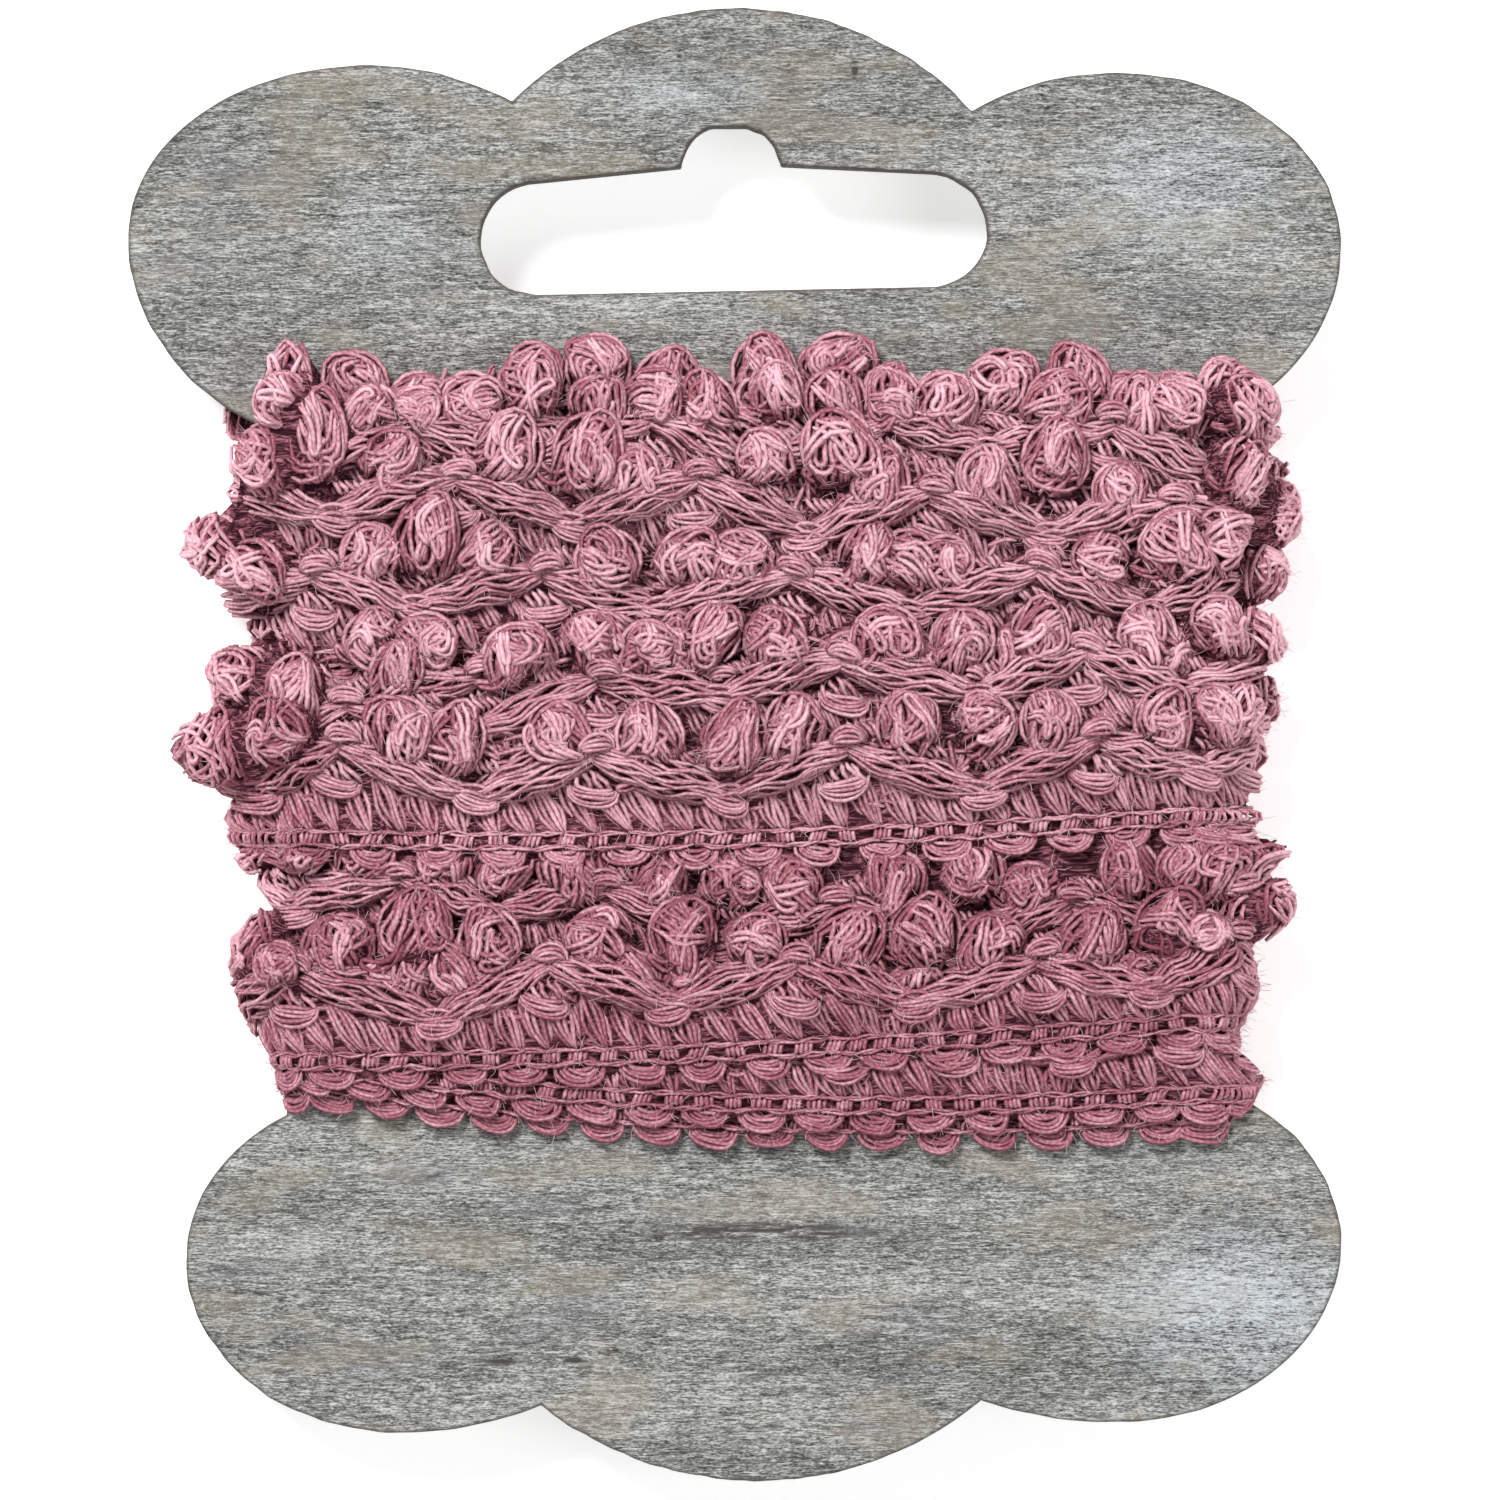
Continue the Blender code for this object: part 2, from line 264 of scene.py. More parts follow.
def make_card(finish):
    """Both outlines filled as one face, thickened down. Its attribute scorch is 1 at the cut edge."""
    plate = bmesh.new()
    face_z = (CARD_MID_Z + CARD_THICK / 2) * MM
    edges = []
    rim = half_outline(TOP_LEFT, TOP_RIGHT, TOP_CROWN, 1)
    rim += half_outline(BOTTOM_LEFT, BOTTOM_RIGHT, BOTTOM_CROWN, -1)[::-1]
    for outline in (shaky(rim, RIM_SHAKES), shaky(slot_outline(), SLOT_SHAKES)):
        verts = [plate.verts.new((x * MM, y * MM, face_z)) for x, y in outline]
        edges += [plate.edges.new((a, b)) for a, b in zip(verts, verts[1:] + verts[:1])]
    bmesh.ops.triangle_fill(plate, edges=edges, use_beauty=True, normal=(0, 0, 1))
    scorch = plate.verts.layers.float.new("scorch")
    bmesh.ops.inset_region(plate, faces=plate.faces[:], thickness=SCORCH_WIDTH * MM, use_boundary=True,
                           use_even_offset=True)
    for vert in plate.verts:
        vert[scorch] = 1.0 if vert.is_boundary else 0.0
    mesh = bpy.data.meshes.new("card_wood")
    plate.to_mesh(mesh)
    plate.free()
    made = add_object("card_wood", mesh, finish)
    thick = made.modifiers.new("thickness", "SOLIDIFY")
    thick.thickness, thick.offset = CARD_THICK * MM, -1
    bevel = made.modifiers.new("worn_rim", "BEVEL")
    bevel.width, bevel.segments, bevel.limit_method, bevel.angle_limit = RIM_ROUND * MM, 2, "ANGLE", 1.0
    return made


def noise(place, scales, detail, roughness=0.5, distortion=0.0):
    """A cloudy pattern, as fine in each of its three directions as the scales say."""
    sockets = {"Vector": place.vector("MULTIPLY", scales), "Scale": 1.0, "Detail": detail,
               "Roughness": roughness, "Distortion": distortion}
    return place.node("TexNoise", {}, sockets)


# Each mark is the x and y of its middle, half its length and height, and its strength.
DARK_MARKS = (
    (2.8, -33.2, 12.5, 1.0, 1.0), (-15.8, -42.0, 2.6, 0.45, 1.0), (-11.0, -42.0, 1.1, 0.4, 1.2),
    (1.4, -42.9, 1.4, 0.7, 0.8), (-5.0, -34.8, 8.0, 0.6, 0.4), (8.2, 46.2, 0.35, 1.3, 0.9),
    (4.0, 45.5, 18.0, 6.0, 0.3))
PALE_MARKS = (
    (34.0, -38.5, 12.0, 8.0, 0.85), (-24.0, 34.5, 5.0, 5.0, 0.3), (31.0, 38.0, 12.0, 7.0, 0.6),
    (-3.0, 44.5, 8.0, 3.0, 0.4))


def marked(place, marks):
    """Soft ovals on the card, each as strong as it is told in its middle."""
    total = 0
    for x, y, half_long, half_high, strength in marks:
        off = place.vector("SUBTRACT", (x, y, 0)).vector("MULTIPLY", (1 / half_long, 1 / half_high, 0))
        off = off.node("VectorMath", {"operation": "LENGTH"}, {0: off}, 1)
        total += (1 - off.between(0.2, 1.0)) * strength
    return total


def weathered_wood(place):
    fibres = noise(place, (1.4, 8.5, 9.0), 4, 0.85, 0.15)
    specks = noise(place, (4.5, 11.0, 11.0), 1)
    streaks = noise(place, (0.3, 2.8, 2.4), 4, 0.7, 0.3)
    bands = noise(place, (0.03, 0.25, 0.3), 3)
    grain = fibres * 0.5 + specks * 0.22 + streaks * 0.18 + bands * 0.1
    warm = noise(place, (0.12, 0.3, 0.3), 2).between(0.52, 0.66)
    cool = noise(place, (0.1, 0.35, 0.3), 3).between(0.55, 0.7)
    pale = marked(place, PALE_MARKS)
    flecks = noise(place, (1.4, 6.0, 4), 3, 0.7).between(0.56, 0.7)
    hairlines = noise(place, (0.5, 9.0, 8.0), 2, 0.6).between(0.6, 0.68)
    pores = 1 - noise(place, (0.9, 8.0, 6), 2, 0.6).between(0.28, 0.42)
    ragged = noise(place, (0.5, 4.5, 4), 3).between(0.35, 0.6)
    burnt = (place.attribute("scorch") + noise(place, (1.1, 1.1, 1.1), 3) * 0.7 - 0.35).between(0.35, 1.0)
    colour = grain.ramp((0.415, (0.03, 0.029, 0.027)), (0.5, (0.195, 0.195, 0.185)),
                        (0.585, (0.56, 0.56, 0.55)))
    for amount, tint in (
        (warm * 0.4, (0.3, 0.265, 0.2)),
        (cool * 0.3, (0.15, 0.15, 0.175)),
        (pale * grain.between(0.4, 0.56) * 0.75, (0.56, 0.61, 0.66)),
        (flecks * (pale + 0.3), (0.65, 0.66, 0.68)),
        (hairlines * 0.6, (0.62, 0.62, 0.6)),
        (pores * 0.85, (0.08, 0.072, 0.065)),
        (marked(place, DARK_MARKS) * ragged, (0.06, 0.053, 0.048)),
        (burnt * 0.8, (0.07, 0.06, 0.05)),
    ):
        colour = amount.mix(colour, tint)
    relief = (grain - pores * 0.3).relief(0.5, 0.12)
    return {"Base Color": colour, "Roughness": 0.7 + grain * 0.25, "Normal": relief}


card = make_card(new_finish("weathered_grey_wood", weathered_wood, Specular_IOR_Level=0.2))
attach(card, "root")
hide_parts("card")

# The winding
# One length of trim goes eleven times round the waist, each turn over and beside the ones before it.
# The front is set turn by turn as it shows, and the sides and back follow by themselves. Maps along
# and up the winding hold what each turn lies on, what presses on it, and how high the whole stands.
PHOTO_SCALE = 14.7
PHOTO_MIDDLE = (734.5, 744.5)
CORE_RADIUS = 1.5
CORE_LEFT, CORE_RIGHT = WAIST_LEFT + CORE_RADIUS, WAIST_RIGHT - CORE_RADIUS
FRONT = CORE_RIGHT - CORE_LEFT
MEAN_RADIUS = 4.0
EDGE = math.pi * MEAN_RADIUS
LOOP = 2 * (FRONT + EDGE)
FIRST_RADIUS, RADIUS_A_TURN, BOBBLE_STANDS = 2.6, 0.38, 1.5
PERIOD = 16.5
VALLEY, PEAK = 4.7, 7.2
BOBBLE_AT = 9.3
BOBBLE_PLACES = (0.22, 0.53, 0.79)
BOBBLE_APART = 3.3
BOBBLE_HALF = (1.98, 2.2, 1.7)
BOBBLE_RIM, BOBBLE_DOME = 0.8, 0.6
SIZE_TAKEN = 0.8
SIDE_PROUD = 0.5
SETTLES_TO = 0.72
PACKS_UNDER = 9.0
TUCKED_END, END_TAPER = 20.0, 4.0
OPEN = 50.0
SCALLOP_HIGH, POSTS_HIGH, LEAF_HIGH, ROPE_HIGH, ROPE_HALF = 0.9, 1.2, 1.7, 2.0, 1.3

# A turn's scallop edge in millimetres at the left, middle and right of the front, the x of one peak of
# its zigzag, and what shows of it, in the photo's pixels: x and y of its knots, of its zigzag's
# valleys, and of its bobbles, with a size where one is large or small.
Turn = namedtuple("Turn", "left middle right peak caps valleys bobbles")
TURNS = (
    Turn(15.3, 15.6, 14.9, -18.0, (), (),
         ((282, 390, 1.15, 1.35), (355, 387, 1.1, 1.1), (416, 403, 0.9), (470, 403, 0.95), (535, 398, 0.8),
          (598, 368, 1.1), (765, 374, 1.1), (840, 368, 1.1), (890, 396, 0.95), (942, 399, 0.95),
          (1005, 382, 1.15), (1078, 383, 1.2), (1130, 403, 0.95), (1182, 402, 0.95), (1231, 391, 1.1),
          (1272, 430))),
    Turn(14.1, 14.6, 13.6, -5.7, ((413, 425), (650, 420), (887, 420), (1114, 423)), ((989, 449), (1223, 485)),
         ((372, 414, 0.9), (418, 412, 0.8), (472, 408, 0.9), (533, 382, 1.0, 1.2), (600, 408),
          (655, 397, 0.9), (708, 405), (835, 402, 1.1), (890, 400, 0.85), (945, 407),
          (1140, 407, 0.95), (1180, 408, 0.9))),
    Turn(10.8, 10.4, 9.2, -2.5, ((456, 479), (698, 479), (929, 494)), ((334, 515), (573, 523), (808, 534)),
         ((317, 438, 1.15, 1.4), (263, 462, 1.1), (392, 462, 1.05), (508, 450, 1.1), (590, 455, 1.25),
          (633, 475), (765, 458), (838, 450, 1.25), (880, 482), (988, 478), (1055, 460, 1.25), (1122, 497))),
    Turn(4.2, 4.3, 4.6, 3.9, ((311, 575), (543, 573), (791, 577), (1036, 570)),
         ((417, 606), (656, 607), (912, 610), (1151, 610)),
         ((212, 547, 1.1), (245, 572, 0.95), (372, 553), (428, 537, 1.1, 1.35), (487, 555, 1.05), (608, 560),
          (690, 558, 1.05), (740, 560, 1.05), (868, 557), (908, 560, 0.9), (945, 565, 0.85), (1103, 563),
          (1180, 548, 1.3), (1228, 540), (1280, 515, 1.25), (1272, 572, 1.1))),
    Turn(-2.1, -3.1, -3.4, -17.2, ((482, 675),), (), ((215, 690, 0.8), (265, 700, 0.8), (318, 700, 0.8))),
    Turn(-5.0, -2.4, -1.0, 7.2, ((348, 706), (599, 680), (840, 662), (1086, 652)),
         ((722, 695), (978, 695), (1180, 690)),
         ((233, 678), (291, 689), (515, 655, 1.05), (590, 640), (648, 650), (710, 635), (775, 640, 1.1),
          (885, 640, 1.1), (962, 640), (1040, 632, 1.1), (1148, 635), (1230, 625), (1270, 640, 0.9))),
    Turn(-16.0, -18.1, -18.1, 7.0, ((401, 879), (605, 889), (838, 905), (1073, 902)),
         ((289, 909), (496, 915)),
         ((440, 862), (570, 870, 1.2), (660, 880, 0.9), (733, 880), (793, 890, 1.1), (895, 885, 1.05),
          (975, 872), (1030, 890, 0.95), (1130, 870), (1187, 868, 0.95), (1240, 870, 0.9), (1274, 880, 0.95),
          (1280, 912, 0.9))),
    Turn(-24.6, -27.25, -26.8, 0.4, ((303, 1006), (519, 1030), (741, 1044), (966, 1047), (1190, 1037)),
         (), ()),
    Turn(-23.5, -26.0, -25.4, -0.1, ((281, 981), (507, 1006), (733, 1020), (958, 1022), (1184, 1012)),
         (), ()),
    Turn(-23.2, -22.4, -20.5, 4.3, ((295, 972), (550, 963), (798, 963), (1036, 958)),
         ((438, 1018), (672, 1004), (913, 1001), (1151, 986)),
         ((262, 965, 0.7), (345, 945), (415, 928, 1.25), (490, 942), (600, 940), (683, 935, 1.25), (757, 942),
          (850, 940, 1.05), (925, 932, 1.1), (990, 942), (1093, 940, 1.05), (1170, 925, 1.2),
          (1222, 935, 0.85))),
    Turn(-8.0, -8.0, -6.5, 7.8, ((339, 744), (593, 754), (848, 746), (1099, 738)),
         ((472, 794), (728, 795), (980, 790), (1211, 769)),
         ((203, 750, 1.25), (268, 731, 1.05), (400, 730, 1.05), (455, 740, 1.05), (560, 735, 1.1),
          (650, 738, 1.15), (735, 740, 1.1), (795, 728, 1.05), (908, 725, 1.05), (985, 725), (1050, 722),
          (1165, 718), (1240, 715, 0.9), (1275, 715, 0.9))),
)

CELL = 0.4
MAP_LOW, MAP_HIGH = -30.0, 30.0
COLUMNS = round(LOOP / CELL)
STEP = LOOP / COLUMNS
along = np.arange(COLUMNS) * STEP
up = np.arange(MAP_LOW, MAP_HIGH + CELL / 2, CELL)
pick = np.random.default_rng(11)
some = pick.uniform


def smooth_step(amount):
    amount = np.clip(amount, 0, 1)
    return amount * amount * (3 - 2 * amount)


def in_view(x, y):
    """A place in the photo, in millimetres on the card."""
    return (x - PHOTO_MIDDLE[0]) / PHOTO_SCALE, (PHOTO_MIDDLE[1] - y) / PHOTO_SCALE


def front_edge(turn, s):
    """The height of a turn's scallop edge on the front, a gentle bow through its three heights."""
    t = s / FRONT
    return turn.left * (1 - t) * (1 - 2 * t) + turn.middle * 4 * t * (1 - t) + turn.right * t * (2 * t - 1)


def front_phase(turn, x):
    """Whole at the zigzag's peaks and half at its valleys, through the knots and valleys that show."""
    knots = {}
    for half, points in ((0, turn.caps), (0.5, turn.valleys)):
        for point in points:
            seen_x = in_view(*point)[0]
            knots[round((seen_x - turn.peak) / PERIOD - half) + half] = seen_x
    knots = knots or {0: turn.peak}
    first, last = min(knots), max(knots)
    knots[first - 10], knots[last + 10] = knots[first] - 10 * PERIOD, knots[last] + 10 * PERIOD
    phases = sorted(knots)
    return np.interp(x, [knots[phase] for phase in phases], phases)


def run_length(number):
    """The trim's own length from the front's right corner to each place round a turn."""
    radius = FIRST_RADIUS + RADIUS_A_TURN * number
    round_edge = ((along > FRONT) & (along < FRONT + EDGE)) | (along > LOOP - EDGE)
    return np.cumsum(np.where(along < FRONT, 0, np.where(round_edge, radius / MEAN_RADIUS, 1))) * STEP


def strip_run():
    """Edge height, phase and wholeness at each place along the strip, from its tucked start to its end."""
    stretches = (TURNS[0],) + TURNS
    edges, phases, whole = [], [], []
    offset = 0
    for number, turn in enumerate(stretches):
        after = stretches[min(number + 1, len(stretches) - 1)]
        behind = turn.right + (after.left - turn.right) * smooth_step((along - FRONT - EDGE) / FRONT)
        edges.append(np.where(along < FRONT, front_edge(turn, along), behind))
        leaves = front_phase(turn, CORE_RIGHT)
        arrives = front_phase(after, CORE_LEFT)
        rest = run_length(number)
        periods = arrives - leaves + round(rest[-1] / PERIOD - arrives + leaves)
        front = front_phase(turn, CORE_LEFT + along)
        phases.append(offset + np.where(along < FRONT, front, leaves + rest / rest[-1] * periods))
        offset = round(offset + leaves + periods - arrives)
        whole.append(np.ones(COLUMNS))
    whole[0] = smooth_step((along - (LOOP - EDGE - TUCKED_END)) / END_TAPER)
    whole[-1] = smooth_step((FRONT + EDGE + TUCKED_END - along) / END_TAPER)
    return np.concatenate(edges), np.concatenate(phases), np.concatenate(whole)


edge_run, phase_run, whole_run = strip_run()
strip = np.arange(len(edge_run)) * STEP


def edge_at(s):
    return np.interp(s, strip, edge_run)


def phase_at(s):
    return np.interp(s, strip, phase_run)


def strip_at(phase):
    return np.interp(phase, phase_run, strip)


def bent(s):
    """1 where the strip goes round a side, 0 on the front and the back, and between them at the corners."""
    off = np.abs((np.asarray(s) - FRONT - EDGE / 2 + LOOP / 4) % (LOOP / 2) - LOOP / 4)
    return smooth_step((EDGE / 2 - off + 1) / 2.5)


def read(grid, s, y):
    """A map's value at any places, blended between its cells. The last column meets the first."""
    column = (s / STEP) % len(grid)
    row = np.clip((y - MAP_LOW) / CELL, 0, grid.shape[1] - 1.001)
    i, j = column.astype(int) % len(grid), row.astype(int)
    a, b = column - column.astype(int), row - j
    after = (i + 1) % len(grid)
    near = grid[i, j] * (1 - b) + grid[i, j + 1] * b
    return near * (1 - a) + (grid[after, j] * (1 - b) + grid[after, j + 1] * b) * a


def softened(heights, passes):
    """The heights averaged with their neighbours. The map wraps round along the loop."""
    for _ in range(passes):
        heights = (np.roll(heights, 1, 0) + 2 * heights + np.roll(heights, -1, 0)) / 4
        padded = np.pad(heights, ((0, 0), (1, 1)), mode="edge")
        heights = (padded[:, :-2] + 2 * heights + padded[:, 2:]) / 4
    return heights


def seen_along(number, point):
    """Where along the strip a place in the photo is, on the front or bent round a side, and its height."""
    x, y = in_view(*point[:2])
    radius = FIRST_RADIUS + RADIUS_A_TURN * number + BOBBLE_STANDS
    s = min(max(x - CORE_LEFT, 0), FRONT)
    s += MEAN_RADIUS * math.asin(min(max((x - CORE_LEFT - s) / radius, -0.99), 0.99))
    return number * LOOP + s, y


Bobble = namedtuple("Bobble", "s v size tall")


def place_bobbles():
    """The bobbles that show, where they are in the photo, and three in each period elsewhere."""
    placed = []
    for number, turn in enumerate(TURNS, 1):
        for point in turn.bobbles:
            s, y = seen_along(number, point)
            size, tall = point[2:] + (1.0, 1.0)[len(point) - 2:]
            placed.append(Bobble(s, y - edge_at(s), 1 + SIZE_TAKEN * (size - 1), tall))
    seen = np.array([bobble.s for bobble in placed])
    for whole in range(math.ceil(phase_run[0]), math.floor(phase_run[-1])):
        for part in BOBBLE_PLACES:
            s = strip_at(whole + part) + some(-0.5, 0.5)
            if np.abs(seen - s).min() > BOBBLE_APART:
                placed.append(Bobble(s, BOBBLE_AT + some(-0.5, 0.4), some(0.9, 1.1), 1.0))
    return sorted(placed)


def zigzag_heights():
    """Height across the strip of each peak and valley, by twice its phase."""
    heights = {}
    for twice in range(math.ceil(2 * phase_run[0]), math.floor(2 * phase_run[-1]) + 1):
        heights[twice] = (VALLEY if twice % 2 else PEAK) + some(-0.2, 0.2)
    for number, turn in enumerate(TURNS, 1):
        for point in turn.caps + turn.valleys:
            s, y = seen_along(number, point)
            heights[round(2 * phase_at(s))] = y - edge_at(s)
    return heights


bobbles = place_bobbles()
zigzag = zigzag_heights()
halves = sorted(zigzag)


def ridge_at(phase):
    """How high across the strip the zigzag runs."""
    return np.interp(2 * phase, halves, [zigzag[half] for half in halves])


def strip_thickness(s, across):
    """The strip's own thickness on a grid of places, 0 where there is no strip."""
    phase = phase_at(s)[:, None]
    scallop = SCALLOP_HIGH * (across > 0.6 - 0.6 * np.abs(np.sin(4 * np.pi * phase)))
    posts = np.where((across > 2.0) & (across < 5.0), POSTS_HIGH, scallop)
    leaf = LEAF_HIGH * np.exp(-(((across - 4.0) / 0.7) ** 2)) * np.abs(np.cos(2 * np.pi * phase)) ** 3
    ridge = ridge_at(phase)
    rope = ROPE_HIGH * np.sqrt(np.clip(1 - ((across - ridge) / ROPE_HALF) ** 2, 0, 1))
    thick = np.where((across > 0) & (across < ridge + ROPE_HALF), np.maximum.reduce([posts, leaf, rope]), 0)
    for bobble in bobbles:
        if s[0] - 3 < bobble.s < s[-1] + 3:
            wide, tall, high = (half * bobble.size for half in BOBBLE_HALF)
            tall *= bobble.tall
            high *= 1 + SIDE_PROUD * bent(bobble.s)
            off = ((s[:, None] - bobble.s) / wide) ** 2 + ((across - bobble.v) / tall) ** 2
            dome = BOBBLE_RIM + BOBBLE_DOME * np.sqrt(np.clip(1 - off, 0, 1))
            thick = np.maximum(thick, high * dome * (off < 1))
    return thick


def wind():
    """What each turn lies on and what presses on it, all along the strip, and the height in the end."""
    heights = np.zeros((COLUMNS, len(up)))
    grounds, covers = [], []
    for start in range(0, len(strip), COLUMNS):
        part = slice(start, start + COLUMNS)
        thick = strip_thickness(strip[part], up[None, :] - edge_run[part, None])
        ground = SETTLES_TO * softened(heights, 6)
        covered = np.where(thick > 0, whole_run[part, None], 0)
        heights = heights + (ground + thick - heights) * covered
        grounds.append(ground)
        covers.append(covered > 0.5)
    lid, lids = np.full_like(heights, OPEN), []
    for ground, cover in zip(grounds[::-1], covers[::-1]):
        lids.append(lid)
        lid = np.where(cover, np.minimum(lid, ground), lid)
    return np.concatenate(grounds), np.concatenate(lids[::-1]), softened(heights, 1)


ground_map, lid_map, final_map = wind()

SIDE_RIM = ((-24.6, 20.5), (-22.7, 21.4))
SHOULDER_RIM = (-25.6, 24.0)
RIM_REACH = 0.6
LEFT_FULLNESS = (
    (-25, -0.1), (-22.8, 0.05), (-20.8, 0.5), (-18.7, 0.8), (-16.7, 1.02), (-15.7, 0.72), (-14.7, 0.55),
    (-13.2, 0.6), (-11.6, 0.3), (-9.5, 0.92), (-7.5, 1.0), (-4.5, 1.5), (-2.4, 1.95), (0.5, 1.9), (3.7, 1.5),
    (5.7, 1.4), (6.8, 1.7), (7.8, 2.4), (9.5, 2.2), (10.8, 1.9), (12.5, 1.62), (15.3, 1.5), (18, 1.2),
    (24.0, 1.1))
RIGHT_FULLNESS = (
    (-24.9, 1.2), (-22.8, 1.1), (-20.8, 0.64), (-16.7, 0.62), (-14.7, 0.67), (-12.0, 1.04), (-8.5, 1.4),
    (-7.5, 2.4), (-6.0, 4.0), (-5.0, 4.4), (-4.0, 3.2), (-3.0, 1.8), (0.0, 1.2), (4.0, 1.05), (7.8, 1.15),
    (18.0, 1.17), (22.0, 1.3), (24.5, 1.1))
FOOT_STEPS_OUT, FOOT_BELOW = 1.6, -21.0
FLOOR_GAP = 0.21
PRESS = 0.3


def over_core(s, y, height):
    """Points over the core, and the direction straight out of the winding there."""
    s = s % LOOP
    turn = (np.clip((s - FRONT) / EDGE, 0, 1) + np.clip((s - 2 * FRONT - EDGE) / EDGE, 0, 1)) * np.pi
    x = CORE_LEFT + np.clip(s, 0, FRONT) - np.clip(s - FRONT - EDGE, 0, FRONT)
    out = np.stack([np.sin(turn), 0 * turn, np.cos(turn)], -1)
    level = np.abs(out[..., 2])
    left, right = (np.interp(y, *zip(*table)) for table in (LEFT_FULLNESS, RIGHT_FULLNESS))
    fullness = level + (1 - level) * np.where(x < 0, left, right)
    reach = CORE_RADIUS + PACKS_UNDER * np.tanh(height / PACKS_UNDER) * fullness
    x = x + FOOT_STEPS_OUT * smooth_step((FOOT_BELOW - y) / 3) * (x > 0) * out[..., 0]
    z = CARD_MID_Z + out[..., 2] * reach
    side = np.array(SIDE_RIM)[(x > 0).astype(int)]
    low, high = (side[..., end] + (SHOULDER_RIM[end] - side[..., end]) * level for end in (0, 1))
    clamped = np.where(y > high - 1, high - 1 + np.tanh(y - high + 1), y)
    clamped = np.where(y < low + 1, low + 1 + np.tanh(y - low - 1), clamped)
    clear = smooth_step((np.abs(z - CARD_MID_Z) - CARD_THICK / 2) / RIM_REACH)
    y = np.where(level < 0.99, clamped + (y - clamped) * clear, y)
    z = FLOOR_GAP + PRESS * np.logaddexp(0, (z - FLOOR_GAP) / PRESS)
    return np.stack([x + out[..., 0] * reach, y, z], -1), out


# The thread
# Soft two-ply cotton in a dusty rose, 0.3 to 0.4 mm thick, a little fuzzy and matt. Every stitch is
# drawn as threads over the winding, and what later turns press on or hide is pressed or left out.
THREAD = 0.18
FRONT_SIDES, BACK_SIDES = 4, 3
SEEN_DEPTH = 0.7
PLY_PITCH = 0.9
SIDES_PAINTED_LIGHT = 0.55
TIP = 0.6
TONE_SHIFT = 7


def rings(paths, outward, radius, sides):
    """Rings of points round each path. Each ring's first point is on the thread's crown."""
    ahead = np.gradient(paths, axis=1)
    ahead /= np.linalg.norm(ahead, axis=2, keepdims=True) + 1e-9
    crown = outward[:, 0]
    crowns = []
    for step in range(paths.shape[1]):
        crown = outward[:, step] + 0.3 * crown
        crown = crown - ahead[:, step] * np.sum(crown * ahead[:, step], 1, keepdims=True)
        crown = crown / (np.linalg.norm(crown, axis=1, keepdims=True) + 1e-9)
        crowns.append(crown)
    above = np.stack(crowns, 1)[:, :, None]
    aside = np.cross(ahead[:, :, None], above)
    turn = 2 * np.pi * np.arange(sides)[:, None] / sides
    return paths[:, :, None] + radius[..., None, None] * (np.cos(turn) * above + np.sin(turn) * aside)


def local_scale(s, v, above=1.2):
    """How far along the strip's map a millimetre of stitch goes, less than 1 where it bends outward."""
    round_it = MEAN_RADIUS / (CORE_RADIUS + read(ground_map, np.array(s), edge_at(s) + v) + above)
    return 1 + (round_it - 1) * bent(s)


# crown and depth paint highlight and shade into rose_cotton's colour, and tone carries painted shade and
# light along with each thread's random tone.
YARN_MARKS = "crown", "side", "length", "depth", "tone"


